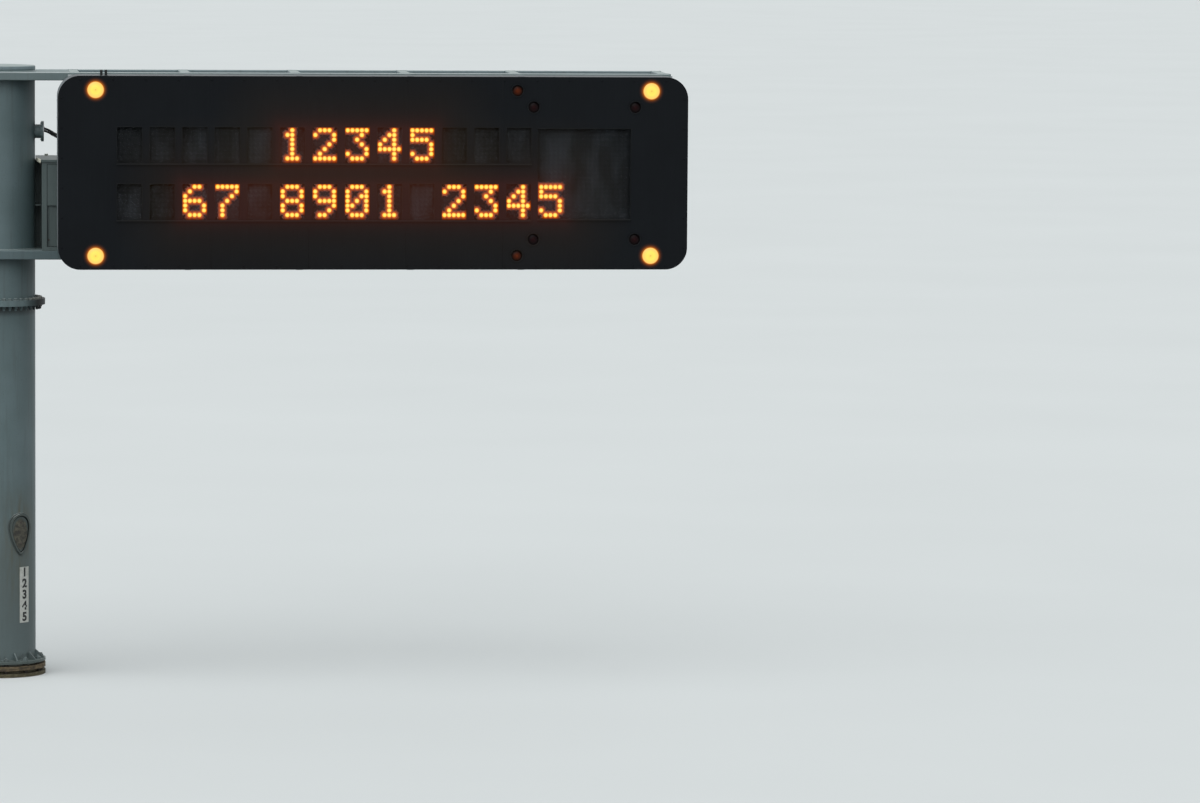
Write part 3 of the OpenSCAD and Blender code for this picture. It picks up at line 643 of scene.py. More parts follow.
columnPaint = stainedColumnPaint(columnLook)
# jointPaint: painted shade darkens the joint ring and the bolts under it on the half towards the sign;
# headPaint makes the heads there paler
jointPaint = framedPaint("jointPaint", deep="#68797B", pale="#748689", dust=0.5, dustColour="#4A5656",
                         shine=0.2, far="#16191A")
headPaint = framedPaint("headPaint", deep="#4A5858", pale="#5A6868", far="#84867E")
flangePaint = framedPaint("flangePaint", deep="#4E5856", pale="#5A6462", dust=0.5, dustColour="#5E6864",
                          shine=0.3)
# a lighter copy of the frame's paint: painted light on the cap, the top rear rail and the top cross members
litCapPaint = framedPaint("litCapPaint", deep="#66767A", pale="#728286", dustColour="#8C9894")
framePaint = framedPaint("framePaint")
# a darker copy of the frame's paint: painted shade on the bottom ladder and both collar plates
shadedRailPaint = framedPaint("shadedRailPaint", deep="#5A6A6C", pale="#66767A", dust=0.4, dustColour="#7E8886",
                           shine=0.2)
housingPaint = weatheredPaint("housingPaint", housingLook)
cabinetPaint = weatheredPaint("cabinetPaint", cabinetLook)
grimyRim = framedPaint("grimyRim", deep="#3E4745", pale="#48514E", dirt="#38372F")
# a darker copy of the frame's paint for the weld bead round the hand hole
darkWeldPaint = framedPaint("darkWeldPaint", deep="#3A4240", pale="#454E4D", dirt="#2C2E2B")
coverPaint = stainedCover("#485250", "#24221D", "#565448")
flangeSteel = rustedFlange("flangeSteel", "#74644A", "#4A4234")
plateSteel = rustedFlange("plateSteel", "#665F46", "#454030")
sootySteel = rustedFlange("sootySteel", "#55504A", "#38342F")
bedding = packedGrout("bedding", "#86806C", "#625C4C")
packing = packedGrout("packing", "#A4A89C", "#7E8278")
plateWhite = plateSheet("plateWhite", "#CDD0CA", "#B9BCB5")
plateBlack = plateSheet("plateBlack", "#1D2020", "#141616")
# a bright white sheet: painted highlight on the lip along the cabinet cover's diagonal edge
highlightWhite = plateSheet("highlightWhite", "#F0EEDA", "#D6D4C0")
galvanised = hotDipZinc("galvanised", "#B4B9BA", "#858B8D")
brightZinc = hotDipZinc("brightZinc", "#E6E8DC", "#C6C9BE")
faceBlack = faceBlackCoat()
paneGlass = clearPane()
trayBlack = boardBlack("trayBlack", "#111416", "#22262A")
dotLens = boardBlack("dotLens", "#15181A", "#282C30")
litAmber = glowingLens("litAmber", [(0.0, "#EDB848"), (0.06, "#F6CC56"), (0.14, "#FFE25E"), (0.45, "#FFEC60"),
                                    (0.7, "#FFDC66"), (0.88, "#FFD06A"), (0.94, "#F4A53C"), (0.98, "#C05A10"),
                                    (1.0, "#8A3206")], 1.0, "#1C0E04")
litDot = glowingLens("litDot", [(0.0, "#FFE070"), (0.62, "#FFD654"), (0.84, "#FFB832"), (0.93, "#FA9818"),
                                (0.98, "#EC7A0A"), (1.0, "#D86604")], 1.25, "#1C0E04")
# amberSpill: painted glow, emitting cones on the board round the lit dots; they are no lamps
amberSpill = glowingLens("amberSpill", [(0.36, "#EC6A00"), (0.44, "#CC5200"), (0.56, "#9C3A00"),
                                        (0.74, "#6A2600"), (1.0, "#4C1C02")], 1.0, "#0C0E10")
amberLens = dullLens("amberLens", "#6A2A0C", "#1E0E08")
redLens = dullLens("redLens", "#240508", "#0C0304")
sillMetal = mouldedBlack("sillMetal", "#141618", 0.7, 5, "#1C1F21")
bezelBlack = mouldedBlack("bezelBlack", "#0A0C0E", 0.7, 4, "#15181B")
blackMetal = mouldedBlack("blackMetal", "#17191B", 0.45, 6)
cableBlack = mouldedBlack("cableBlack", "#141618", 0.6, 8)
beadBlack = mouldedBlack("beadBlack", "#0C0E10", 0.85, 5, "#1C1F21")
gasketBlack = mouldedBlack("gasketBlack", "#0C0E10", 0.85, 5, "#1C1F21")

finishes = {
    columnPaint: ["lower_column", "upper_column", "base_gussets", "cable_stub"],
    jointPaint: ["lower_joint_flange", "upper_joint_flange"],
    flangePaint: ["base_flange"],
    litCapPaint: ["column_cap", "top_rear_rail", "top_cross_members"],
    framePaint: ["top_front_rail", "front_posts", "rear_posts", "rail_end_plates"],
    shadedRailPaint: ["bottom_front_rail", "bottom_rear_rail", "bottom_cross_members", "bottom_collar_plate",
                   "top_collar_plate"],
    housingPaint: ["housing_sheets", "housing_corners", "back_bands", "back_mullions", "rear_doors",
                   "vent_covers"],
    cabinetPaint: ["equipment_cabinet", "cabinet_cover", "cabinet_doors", "cabinet_bracket"],
    flangeSteel: ["foundation_flange"],
    plateSteel: ["anchor_plate"],
    bedding: ["bedding_ring"],
    packing: ["packing_ring"],
    coverPaint: ["hand_hole_cover"],
    grimyRim: ["hand_hole_rim"],
    plateWhite: ["number_plate"],
    faceBlack: ["face_panel"],
    sillMetal: ["window_sills"],
    paneGlass: ["window_panes"],
    trayBlack: ["display_trays"],
    bezelBlack: ["lantern_bezels", "corner_lanterns", "spare_lanterns", "red_lanterns"],
    galvanised: ["housing_cleats", "door_hinges"],
    blackMetal: ["door_handles", "top_lugs"],
    cableBlack: ["sign_cables"],
}
for material, nodes in finishes.items():
    for node in nodes:
        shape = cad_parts[node].data
        shape.materials.clear()
        shape.materials.append(material)
print("materials")


# The display: dots, their lenses, and the message

dot = {
    "pitch": mm(47),
    "lift": mm(9),  # of a character's middle above its window's middle
    "cup": mm(23.4),  # radius of the reflector cup
    "lens": mm(22.4),  # radius of the lens in it
    "lit": ((0, 11), (0.55, 9.6), (1, 4.5), (1.03, 1.2)),  # shares of the lens's radius, heights in mm
    "unlit": ((0, 2.6), (0.7, 2), (1, 0.8)),
    "spill": pairs((22, 5.5), (32, 4), (60, 0.6)),  # the painted glow's cone round a lit dot
}
digitDots = {
    "0": "01110 10001 10011 10101 11001 10001 01110",
    "1": "00100 01100 00100 00100 00100 00100 01110",
    "2": "01110 10001 00001 00010 00100 01000 11111",
    "3": "11111 00010 00100 00010 00001 10001 01110",
    "4": "00010 00110 01010 10010 11111 00010 00010",
    "5": "11111 10000 11110 00001 00001 10001 01110",
    "6": "00110 01000 10000 11110 10001 10001 01110",
    "7": "11111 00001 00010 00100 01000 01000 01000",
    "8": "01110 10001 10001 01110 10001 10001 01110",
    "9": "01110 10001 10001 01111 00001 00010 01100",
}
message = ["     12345    ", "  67 8901 2345"]  # plain digits, one for each window; the last is in the matrix


def litPlaces():  # grid places of the dots that are on
    found = set()
    for row, text in enumerate(message):
        for cell, sign in enumerate(text):
            if sign == " ":
                continue
            for line, dots in enumerate(digitDots[sign].split()):
                found |= {(row, cell, column, line) for column, on in enumerate(dots) if on == "1"}
    return found


def cellX(cell):  # the middle of a window; halves give the joints between
    return characters["first"] + characters["pitch"] * cell


def dotPlace(row, cell, column, line):
    x = cellX(cell) + (column - 2) * dot["pitch"]
    z = characters["rows"][row] + dot["lift"] + (3 - line) * dot["pitch"]
    return x, z


def makeDots():
    lit = litPlaces()
    on = [dotPlace(*place) for place in sorted(lit)]
    every = [(row, cell, column, line) for row in range(2) for cell in range(characters["count"])
             for column in range(5) for line in range(7)]
    off = [dotPlace(*place) for place in every if place not in lit]
    left, low = dotPlace(1, characters["count"], 0, 6)
    columns = int((matrix["x"] + matrix["width"] / 2 - left) / dot["pitch"])
    rows = int((matrix["z"] + matrix["height"] / 2 - low) / dot["pitch"])
    taken = {(round(x, 4), round(z, 4)) for x, z in on}
    grid = [(left + i * dot["pitch"], low + k * dot["pitch"]) for i in range(columns) for k in range(rows)]
    off += [(x, z) for x, z in grid if (round(x, 4), round(z, 4)) not in taken]
    onPlaces, offPlaces = [[facing((x, boardFront, z)) for x, z in places] for places in (on, off)]
    cup, lens = dot["cup"], dot["lens"]
    profile = [(lens * share, mm(height)) for share, height in dot["lit"]]
    lamp = lathe(profile + [(cup, mm(3.2)), (cup, 0), (0, 0)], 12)
    settle(repeated(lamp, onPlaces), "lit_dots", litDot, 40)
    cup *= 0.98
    profile = [(lens * share, mm(height)) for share, height in dot["unlit"]]
    lamp = lathe(profile + [(cup, mm(0.8)), (cup, 0), (0, 0)], 9)
    settle(repeated(lamp, offPlaces), "unlit_dots", dotLens, 40)
    settle(repeated(lathe(dot["spill"], 16), onPlaces), "dot_spill", amberSpill, 40)
    print("dots", len(on), len(off))


bead = {"band": mm(7), "proud": mm(3), "edge": mm(1.2), "sunk": mm(1)}


def makeGaskets():  # the rubber glazing bead round each window, just proud of the face
    depth = faceLow.y + bead["sunk"]
    shape = bead["band"], bead["proud"], bead["edge"]
    places = [Matrix.Translation((cellX(cell), depth, z)) for z in characters["rows"]
              for cell in range(characters["count"])]
    ring = bandFrame(characters["width"], characters["height"], *shape)
    settle(repeated(ring, places), "window_gaskets", beadBlack)
    ring = bandFrame(matrix["width"], matrix["height"], *shape)
    places = [Matrix.Translation((matrix["x"], depth, matrix["z"]))]
    settle(repeated(ring, places), "matrix_gasket", beadBlack)


cornerLamp = {"x": (faceHigh.x - faceLow.x) / 2 - mm(372), "z": (faceHigh.z - faceLow.z) / 2 - mm(139),
              "radius": mm(86), "base": mm(4), "rise": mm(12), "ridges": 9}
smallLamp = {"radius": mm(53), "base": mm(6), "rise": mm(11), "ridges": 7}
spareX = mm(5146)
redFrom = (mm(511), mm(662))  # of the red lamps, from the matrix's middle in X and the face's middle in Z


def ridgedLens(lamp):
    radius, base, count = lamp["radius"], lamp["base"], lamp["ridges"]
    profile = [(0, base + lamp["rise"])]
    for i in range(1, count + 1):
        t = i / count
        height = base + lamp["rise"] * (1 - t ** 2)
        profile += [(radius * (t - 0.35 / count), height + mm(0.9)), (radius * t, height - mm(0.3))]
    return lathe(profile + [(radius, mm(1)), (radius * 0.96, mm(1))], 40)


def makeLenses():  # ridged lenses over the lanterns' domes
    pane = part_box("window_panes")[0].y
    bezelFront = faceLow.y - mm(6)
    cornerX = [faceMiddle.x - cornerLamp["x"], faceMiddle.x + cornerLamp["x"]]
    cornerZ = [faceMiddle.z - cornerLamp["z"], faceMiddle.z + cornerLamp["z"]]
    redX = [matrix["x"] - redFrom[0], matrix["x"] + redFrom[0]]
    redZ = [faceMiddle.z - redFrom[1], faceMiddle.z + redFrom[1]]
    for name, lamp, xs, y, zs, lens, slot in (
            ("corner_lenses", cornerLamp, cornerX, bezelFront, cornerZ, litAmber, "amber_lens"),
            ("spare_lenses", smallLamp, [spareX], pane, cornerZ, amberLens, "orange_lens"),
            ("red_lenses", smallLamp, redX, pane, redZ, redLens, "red_lens")):
        places = [facing((x, y, z)) for x in xs for z in zs]
        settle(repeated(ridgedLens(lamp), places), name, lens, 20)


glow = {
    "rowReach": mm(700),
    "row": ((0.0, "#2E0E03"), (0.07, "#250B01"), (0.14, "#1D0900"), (0.21, "#170800"), (0.29, "#120700"),
            (0.43, "#0D0600"), (0.57, "#090400"), (0.71, "#060300"), (1.0, "#000000")),
    "lampReach": mm(130),
    "lamp": ((0.0, "#A05408"), (0.23, "#643208"), (0.45, "#3E1C06"), (0.68, "#1E0C04"), (1.0, "#000000")),
}


def addSpill(material):  # painted glow: emission standing in for the light of the lit cells and corner lamps on the black round them
    tree = material.node_tree
    place = addNode(tree, "TexCoord", output="Object")

    def glowFrom(centre, half, last, near, far, stops):  # a block's edges ("MAXIMUM") or corners ("ABSOLUTE")
        step = place
        for operation, other in (("SUBTRACT", centre), ("ABSOLUTE", (0, 0, 0)), ("SUBTRACT", half),
                                 (last, (0, 0, 0)), ("MULTIPLY", (1, 0, 1))):
            step = addNode(tree, "VectorMath", {0: step, 1: other}, "Vector", operation=operation)
        distance = addNode(tree, "VectorMath", {0: step}, "Value", operation="LENGTH")
        fade = addNode(tree, "MapRange", {"Value": distance, "From Min": near, "From Max": far})
        return addNode(tree, "ValToRGB", {"Fac": fade}, stops=stops)

    total = glowFrom(faceMiddle, (cornerLamp["x"], 0, cornerLamp["z"]), "ABSOLUTE", cornerLamp["radius"],
                     glow["lampReach"], glow["lamp"])
    for row, text in enumerate(message):
        first, last = len(text) - len(text.lstrip()), len(text.rstrip()) - 1
        middle = (cellX((first + last) / 2), 0, characters["rows"][row] + dot["lift"])
        half = (characters["pitch"] * (last - first) / 2 + dot["pitch"] * 2.5, 0, dot["pitch"] * 3.5)
        tone = glowFrom(middle, half, "MAXIMUM", 0, glow["rowReach"], glow["row"])
        total = addNode(tree, "MixRGB", {"Fac": 1.0, "Color1": total, "Color2": tone}, blend_type="ADD")
    dressed(material, Emission_Color=total)
    tree.nodes["Principled BSDF"].inputs["Emission Strength"].default_value = 1.0


makeDots()
makeGaskets()
makeLenses()
for material in (faceBlack, bezelBlack, beadBlack, trayBlack, dotLens, sillMetal):
    addSpill(material)
print("display")


# The column: anchors, joint bolts, welds, hand hole and number strip

anchors = {"circle": mm(410), "count": 12, "first": 37, "stud": mm(16), "flats": mm(46), "above": mm(36),
           "washer": (mm(31), mm(15), mm(4)), "nut": mm(22), "lockNut": mm(20)}
jointBolts = {"circle": mm(405), "count": 42, "first": -85, "stud": mm(12), "flats": mm(38), "below": mm(44),
              "washer": (mm(22), mm(11), mm(4)), "head": mm(15), "nut": mm(20)}


def boltCircle(bolts, height):  # places round the column, each turned to face out
    places = []
    for i in range(bolts["count"]):
        turn = bolts["first"] + i * 360 / bolts["count"]
        x = bolts["circle"] * math.cos(math.radians(turn))
        y = bolts["circle"] * math.sin(math.radians(turn))
        places.append(facing((x, y, height), (0, 0, 1), turn))
    return places


def makeAnchors():
    onWasher = anchors["washer"][2]
    nut = joined([washer(*anchors["washer"]), hexPrism(anchors["flats"], anchors["nut"], onWasher, mm(4)),
                  threadedEnd(anchors["stud"], anchors["nut"] - mm(2), anchors["above"], mm(5))])
    places = boltCircle(anchors, flangeTop)
    settle(repeated(nut, places), "anchor_nuts", columnPaint)
    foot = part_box("anchor_plate")[1].z - flangeTop
    stud = [threadedEnd(anchors["stud"], foot + mm(1), -mm(4), mm(6))]
    for node in ("packing_ring", "bedding_ring"):
        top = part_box(node)[1].z - flangeTop
        stud.append(hexPrism(anchors["flats"] - mm(4), anchors["lockNut"], top - anchors["lockNut"], mm(3)))
    settle(repeated(joined(stud), places), "anchor_studs", sootySteel)


def makeJointBolts():
    grip = jointHigh - jointLow
    ring, flats, onWasher = jointBolts["washer"], jointBolts["flats"], jointBolts["washer"][2]
    top = [washer(*ring), hexPrism(flats, jointBolts["head"], onWasher, mm(2.5))]
    under = [washer(*ring), hexPrism(flats, jointBolts["nut"], onWasher, mm(2.5)),
             threadedEnd(jointBolts["stud"], 0, jointBolts["below"], mm(4))]
    turned = Matrix.Translation((0, 0, -grip)) @ Matrix.Rotation(math.pi, 4, "X")
    for part in under:
        part.data.transform(turned)
    places = boltCircle(jointBolts, jointHigh)
    settle(repeated(joined(top), places), "joint_heads", headPaint)
    settle(repeated(joined(under), places), "joint_bolts", jointPaint)


seamAngle = 118  # of the lower tube's seam; the upper tube's is mirrored


def makeColumnWelds():
    rings = [weldRing(columnRadius + mm(2), flangeTop + mm(1), mm(8)),
             weldRing(columnRadius + mm(2), jointLow - mm(1), mm(7)),
             weldRing(columnRadius + mm(2), jointHigh + mm(1), mm(7)),
             weldRing(columnRadius + mm(1), capLow, mm(4))]
    settle(joined(rings), "column_welds", columnPaint, 50)
    seam = math.radians(seamAngle)
    x, y = columnRadius * math.cos(seam), columnRadius * math.sin(seam)
    seams = [weldLine((x, y, flangeTop), (x, y, jointLow), mm(3)),
             weldLine((-x, y, jointHigh), (-x, y, capLow), mm(3))]
    settle(joined(seams), "column_seams", columnPaint, 50)


plateText = {"angle": 42, "figures": "12345", "size": mm(120), "thick": mm(0.8), "bolder": mm(5.2),
             "proud": mm(3.4)}


def makePlateDigits():  # plain figures, one above the other, as such strips carry
    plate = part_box("number_plate")
    step = (plate[1].z - plate[0].z) / len(plateText["figures"])
    shapes = []
    for i, figure in enumerate(plateText["figures"]):
        clearSelection()
        bpy.ops.object.text_add(rotation=(math.pi / 2, 0, 0))
        text = bpy.context.object
        text.data.body = figure
        text.data.size = plateText["size"]
        text.data.extrude = plateText["thick"]
        text.data.offset = plateText["bolder"]
        text.data.align_x = "CENTER"
        text.data.align_y = "CENTER"
        bpy.ops.object.convert(target="MESH")
        middle = plate[1].z - (i + 0.5) * step
        shapes.append(wrapped(text, columnRadius + plateText["proud"], plateText["angle"], middle))
    settle(joined(shapes), "plate_digits", plateBlack)


def hatchRing(grow, band, thick, edge):  # a ring inside the hand hole's egg, grown all round, drawn in XZ
    taper = hatch["taper"]
    widest = (math.sqrt(1 + 8 * taper ** 2) - 1) / (4 * taper)
    halfWide = (hatch["width"] / 2 + grow) / (math.sqrt(1 - widest ** 2) * (1 + taper * widest))
    halfTall = hatch["tall"] / 2 + grow
    turns = [math.radians(6 * i) for i in range(60)]
    points = [(halfWide * math.cos(a) * (1 + taper * math.sin(a)), 0, halfTall * math.sin(a)) for a in turns]
    mesh = bpy.data.meshes.new("outline")
    mesh.from_pydata(points, [], [range(len(points))])
    return bandRing(link("outline", mesh), band, thick, edge)


def makeHatchFittings():
    onCover = columnRadius + mm(8)
    seal = wrapped(hatchRing(-mm(1), mm(9), mm(4), mm(1.2)), onCover, hatch["angle"], hatch["height"])
    settle(seal, "hatch_seal", gasketBlack)
    weld = hatchRing(mm(31), mm(14), mm(10), mm(3))
    weld = wrapped(weld, columnRadius - mm(1), hatch["angle"], hatch["height"])
    settle(rippled(weld, mm(3), mm(12)), "hatch_weld", darkWeldPaint, 50)
    locks = []
    for z in (hatch["tall"] * 0.3, -hatch["tall"] * 0.26):
        lock = lathe(pairs((0, 1), (4, 1), (5, 4), (10, 4), (12, 2), (12, 0)), 24)
        lock.data.transform(facing((0, 0, z)))
        locks.append(wrapped(lock, onCover, hatch["angle"], hatch["height"]))
    settle(joined(locks), "hatch_locks", sootySteel)


makeAnchors()
makeJointBolts()
makeColumnWelds()
makePlateDigits()
makeHatchFittings()
print("column")


# The ladder frame: welds and the cleats' bolts

frameWeld = {"member": mm(4), "end": mm(3), "collar": mm(7), "post": mm(80), "collarStep": mm(20)}


def weldOutlines(width, depth, thick, places):  # four beads round a hollow section, at each place
    x, y = width / 2, depth / 2
    corners = [(x, y, 0), (-x, y, 0), (-x, -y, 0), (x, -y, 0)]
    beads = [weldLine(corners[i], corners[(i + 1) % 4], thick) for i in range(4)]
    return repeated(joined(beads), places)


def makeFrameWelds():
    topLow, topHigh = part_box("top_cross_members")
    lowLow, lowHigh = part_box("bottom_cross_members")
    memberPlaces = [topLow.x + railWidth / 2] + postPlaces
    ladders = ((topLow, topHigh), (lowLow, lowHigh))
    beads = []
    for low, high in ladders:
        middle = (low.z + high.z) / 2
        places = [facing((x, y, middle), (0, 1, 0)) for x in memberPlaces for y in (low.y, high.y)]
        beads.append(weldOutlines(railWidth, high.z - low.z, frameWeld["member"], places))
    postY = [railFront + railWidth / 2, railBack - railWidth / 2]
    places = [Matrix.Translation((x, y, z)) for x in postPlaces for y in postY for z in (lowHigh.z, topLow.z)]
    beads.append(weldOutlines(frameWeld["post"], frameWeld["post"], frameWeld["member"], places))
    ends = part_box("rail_end_plates")
    for low, high in ladders:
        places = [facing((x, y, (low.z + high.z) / 2), (1, 0, 0))
                  for x in (ends[0].x + mm(8), ends[1].x - mm(8)) for y in postY]
        beads.append(weldOutlines(railWidth, high.z - low.z, frameWeld["end"], places))
    settle(joined(beads), "frame_welds", framePaint, 50)
    heights = [z - drop for z in (topHigh.z, lowHigh.z) for drop in (0, frameWeld["collarStep"])]
    collars = [weldRing(columnRadius + mm(3), z, frameWeld["collar"]) for z in heights]
    settle(joined(collars), "collar_welds", framePaint, 50)


def makeCleatBolts():
    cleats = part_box("housing_cleats")
    heights = (cleats[0].z + mm(45), cleats[1].z - mm(40))
    places = [facing((x + dx, railFront + railWidth, z), (0, 1, 0), 15)
              for x in postPlaces for dx in (-mm(56), mm(56)) for z in heights]
    settle(repeated(hexBolt(mm(24), mm(10), mm(16)), places), "cleat_bolts", galvanised)


makeFrameWelds()
makeCleatBolts()
print("frame")


# The housing: rivets, screws, joints, and the doors' fittings

fixings = {"corner": mm(220), "rivetStep": mm(180), "rivetInset": mm(30), "screwStep": mm(320),
           "screwInset": mm(38)}


def spread(start, end, step):  # evenly spaced places from start to end, about a step apart
    count = max(1, round((end - start) / step))
    return [start + (end - start) * i / count for i in range(count + 1)]


def makeRivets():
    corner, margin = fixings["corner"], fixings["corner"] + mm(40)
    depths = (faceHigh.y + fixings["rivetInset"], housingBack - fixings["rivetInset"])
    xs = spread(faceLow.x + margin, faceHigh.x - margin, fixings["rivetStep"])
    zs = spread(faceLow.z + margin, faceHigh.z - margin, fixings["rivetStep"])
    places = [facing((x, y, z), (0, 0, s)) for x in xs for y in depths
              for z, s in ((faceLow.z, -1), (faceHigh.z, 1))]
    places += [facing((x, y, z), (s, 0, 0)) for z in zs for y in depths
               for x, s in ((faceLow.x, -1), (faceHigh.x, 1))]
    rivet = lathe(pairs((0, 3.5), (4.4, 2.975), (8, 0.35), (8, 0), (0, 0)), 10)
    settle(repeated(rivet, places), "housing_rivets", housingPaint, 60)
    inset = fixings["screwInset"]
    xs = spread(faceLow.x + corner, faceHigh.x - corner, fixings["screwStep"])
    zs = spread(faceLow.z + corner, faceHigh.z - corner, fixings["screwStep"])
    places = [facing((x, faceLow.y, z)) for x in xs for z in (faceLow.z + inset, faceHigh.z - inset)]
    places += [facing((x, faceLow.y, z)) for z in zs for x in (faceLow.x + inset, faceHigh.x - inset)]
    head = lathe(pairs((0, 2), (4, 2), (5, 5), (8, 4), (10, 0), (0, 0)), 14)
    settle(repeated(head, places), "face_screws", faceBlack, 50)


strip = {"half": mm(32), "thick": mm(3), "edge": mm(1.2)}
faceJoint = {"after": (2, 5, 8, 11), "half": mm(3), "proud": mm(0.6), "sunk": mm(2), "short": mm(4)}


def makeJointStrips():  # cover strips where the housing's sheets meet, over its top, bottom and back bands
    half, thick = strip["half"], strip["thick"]
    strips = []
    for x in postPlaces[1:-1]:
        left, right = x - half, x + half
        for low, high in (((left, faceHigh.y, faceHigh.z), (right, housingBack, faceHigh.z + thick)),
                          ((left, faceHigh.y, faceLow.z - thick), (right, housingBack, faceLow.z)),
                          ((left, housingBack, faceLow.z), (right, housingBack + thick, doorLow.z)),
                          ((left, housingBack, doorHigh.z), (right, housingBack + thick, faceHigh.z))):
            strips.append(bevelledBox(low, high, strip["edge"]))
    settle(joined(strips), "joint_strips", housingPaint)
    half, proud, sunk, short = [faceJoint[key] for key in ("half", "proud", "sunk", "short")]
    seams = []
    for cell in faceJoint["after"]:
        x = cellX(cell + 0.5)
        seams.append(bevelledBox((x - half, faceLow.y - proud, faceLow.z + short),
                                 (x + half, faceLow.y + sunk, faceHigh.z - short), proud))
    settle(joined(seams), "face_joints", faceBlack)


door = {"gap": mm(33), "overlap": mm(8), "band": mm(12), "thick": mm(7), "hinge": mm(560), "lock": mm(150)}


def makeDoorFittings():
    tall, overlap = doorHigh.z - doorLow.z, door["overlap"]
    centre = (doorLow.z + doorHigh.z) / 2
    seals, knuckles, locks = [], [], []
    for i in range(5):
        left, right = postPlaces[i] + door["gap"], postPlaces[i + 1] - door["gap"]
        seal = bandFrame(right - left + overlap, tall + overlap, door["band"], door["thick"], mm(2))
        place = Matrix.Translation(((left + right) / 2, housingBack, centre))
        seal.data.transform(place @ Matrix.Rotation(math.pi, 4, "Z"))
        seals.append(seal)
        hinge = Vector((left - mm(6), doorHigh.y + mm(5), faceMiddle.z))
        knuckles += [Matrix.Translation(hinge + Vector((0, 0, side * door["hinge"]))) for side in (-1, 0, 1)]
        locks += [facing((right - mm(18), doorHigh.y, faceMiddle.z + side * door["lock"]), (0, 1, 0))
                  for side in (-1, 1)]
    settle(joined(seals), "door_seals", gasketBlack)
    half = pairs((0, 52), (4, 52), (6, 48), (7, 47), (7, 17), (6, 16), (7, 15))
    knuckle = lathe(half + [(r, -z) for r, z in reversed(half)], 14)
    settle(repeated(knuckle, knuckles), "hinge_knuckles", galvanised)
    lock = lathe(pairs((0, 2), (5, 2), (6, 7), (12, 7), (15, 3), (15, 0), (0, 0)), 18)
    settle(repeated(lock, locks), "door_locks", galvanised)


def makeHandles():  # a folding grip in each black handle plate
    grips = []
    for x in postPlaces[1:]:
        left = x - postHalf - mm(40)
        grips.append(bevelledBox((left + mm(6), doorHigh.y + mm(12), faceMiddle.z - mm(52)),
                                 (left + mm(18), doorHigh.y + mm(22), faceMiddle.z + mm(60)), mm(4), 3))
    settle(joined(grips), "handle_grips", galvanised)


makeRivets()
makeJointStrips()
makeDoorFittings()
makeHandles()
print("housing")


# The cabinet, the cable stub and the two cables

def makeCabinetFittings():
    low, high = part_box("cabinet_doors")
    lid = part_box("cabinet_cover")
    lock = lathe(pairs((0, 2), (4, 2), (5, 5), (8, 5), (10, 2), (10, 0), (0, 0)), 18)
    place = facing((low.x + mm(16), high.y - mm(4), cabinetLow.z + mm(108)))
    settle(repeated(lock, [place]), "cabinet_lock", sootySteel)
    seal = bandFrame(high.x - low.x + mm(4), high.z - low.z + mm(4), mm(5), mm(4), mm(1.2))
    place = Matrix.Translation(((low.x + high.x) / 2, cabinetLow.y + mm(3), (low.z + high.z) / 2))
    settle(repeated(seal, [place]), "cabinet_seal", gasketBlack)
    place = Matrix.Translation((cabinetLow.x + mm(60), cabinetHigh.y - mm(60), lid[1].z))
    settle(repeated(hexBolt(mm(36), mm(16), mm(24)), [place]), "cover_bolt", brightZinc)
    # a lip along the cover's diagonal front edge, in white as a painted highlight
    start, end = Vector((lid[0].x, 0, 0)), Vector((cabinetLow.x - mm(12), lid[0].y, 0))
    run = end - start
    lip = bevelledBox((mm(4), -mm(8), -mm(10)), (run.length - mm(2), mm(1), mm(26)), mm(2))
    turn = Matrix.Rotation(math.atan2(run.y, run.x), 4, "Z")
    lip.data.transform(Matrix.Translation(start + Vector((0, 0, cabinetHigh.z))) @ turn)
    settle(lip, "cabinet_lip_highlight", highlightWhite)


stubBolts = {"circle": mm(88), "grip": mm(16), "count": 8, "first": 22.5}
cable = {
    "radius": mm(11),
    "spacing": mm(24),
    "route": [(432, 0, 5510), (462, -12, 5504), (494, -44, 5492), (524, -96, 5476), (550, -170, 5464),
              (576, -280, 5455), (606, -390, 5448), (640, -480, 5442)],  # the solids' own route
    "tied": 3,  # the point of the route with the ties
    "tieRun": (56, -126, -28),  # the cable's direction there
}


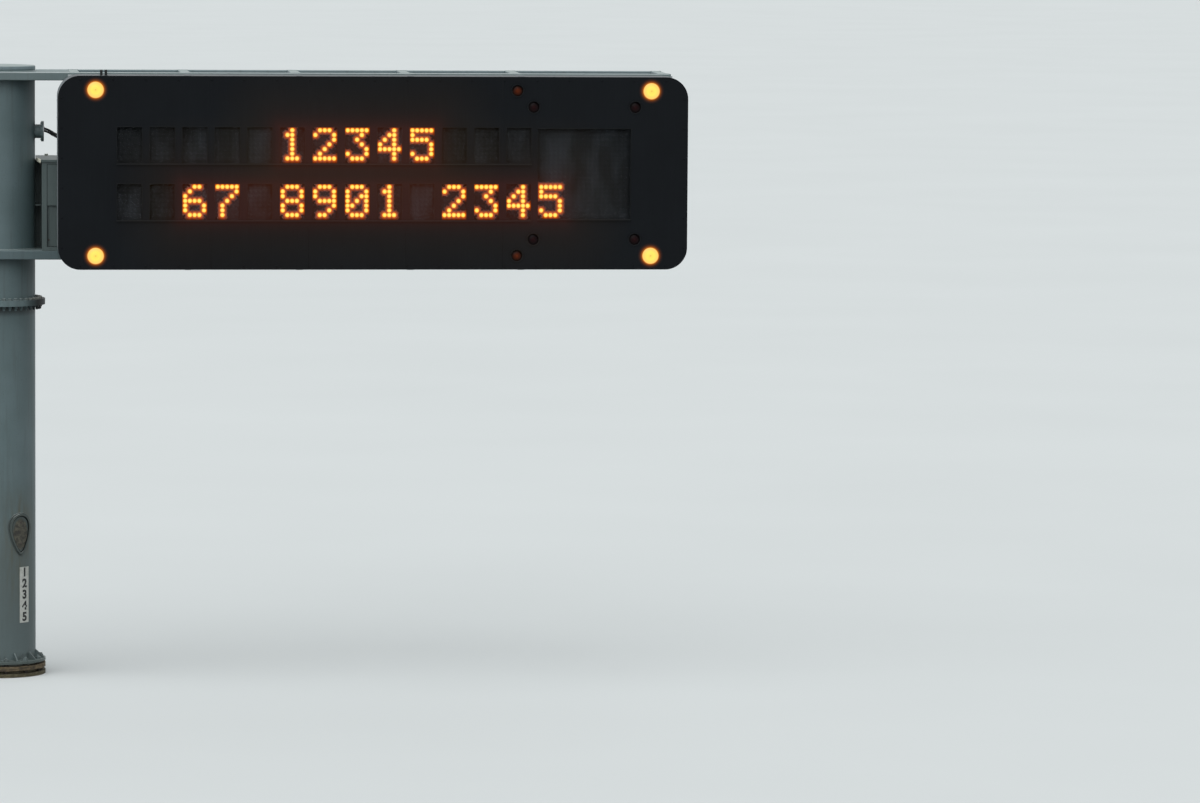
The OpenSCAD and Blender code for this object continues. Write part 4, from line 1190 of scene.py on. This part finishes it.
def makeStubFittings():
    low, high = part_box("cable_stub")
    end, middle = high.x, (low.z + high.z) / 2
    circle, count = stubBolts["circle"], stubBolts["count"]
    places = []
    for i in range(count):
        turn = math.radians(stubBolts["first"] + i * 360 / count)
        spot = (end - stubBolts["grip"], circle * math.sin(turn), middle + circle * math.cos(turn))
        places.append(facing(spot, (-1, 0, 0)))
    settle(repeated(hexBolt(mm(12), mm(4), mm(8)), places), "stub_bolts", columnPaint)
    gland = lathe(pairs((0, 0), (101, 0), (103, 2), (103, 10), (100, 12), (0, 12)), 48)
    gland.data.transform(facing((end, 0, middle), (1, 0, 0)))
    settle(gland, "gland_plate", galvanised)
    boot = bevelledBox((-mm(18), -mm(31), -mm(2)), (mm(18), mm(31), mm(16)), mm(7), 3)
    first, last = [Vector(cable["route"][i]) / 1000 for i in (0, -1)]
    places = [facing(first, (1, -0.2, -0.1)), facing(last, (-0.3, 1, 0.05))]
    settle(repeated(boot, places), "cable_boots", bezelBlack)


def cableRun(shift):
    data = bpy.data.curves.new("cable", "CURVE")
    data.dimensions = "3D"
    data.bevel_depth = cable["radius"]
    data.bevel_resolution = 4
    data.use_fill_caps = True
    data.resolution_u = 8
    spline = data.splines.new("BEZIER")
    spline.bezier_points.add(len(cable["route"]) - 1)
    for knot, (x, y, z) in zip(spline.bezier_points, cable["route"]):
        knot.co = (mm(x), mm(y), mm(z) + shift)
        knot.handle_left_type = "AUTO"
        knot.handle_right_type = "AUTO"
    pick(link("cable", data))
    bpy.ops.object.convert(target="MESH")
    return bpy.context.object


def makeCables():
    shifts = (-cable["spacing"] / 2, cable["spacing"] / 2)
    sheath = settle(joined([cableRun(shift) for shift in shifts]), "cables", cableBlack, 60)
    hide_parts("sign_cables")
    middle = Vector(cable["route"][cable["tied"]]) / 1000
    inner, outer, half = cable["radius"] - mm(1), cable["radius"] + mm(2), mm(4)
    ties = []
    for shift in shifts:
        tie = lathe([(inner, -half), (outer, -half), (outer, half), (inner, half), (inner, -half)], 20)
        tie.data.transform(facing(middle + Vector((0, 0, shift)), cable["tieRun"]))
        ties.append(tie)
    reach = Vector((mm(7), mm(5), mm(8)))
    ties.append(bevelledBox(middle - reach, middle + reach, mm(1.5)))
    settle(joined(ties), "cable_ties", gasketBlack)


makeCabinetFittings()
makeStubFittings()
makeCables()
print("cabinet and cables")
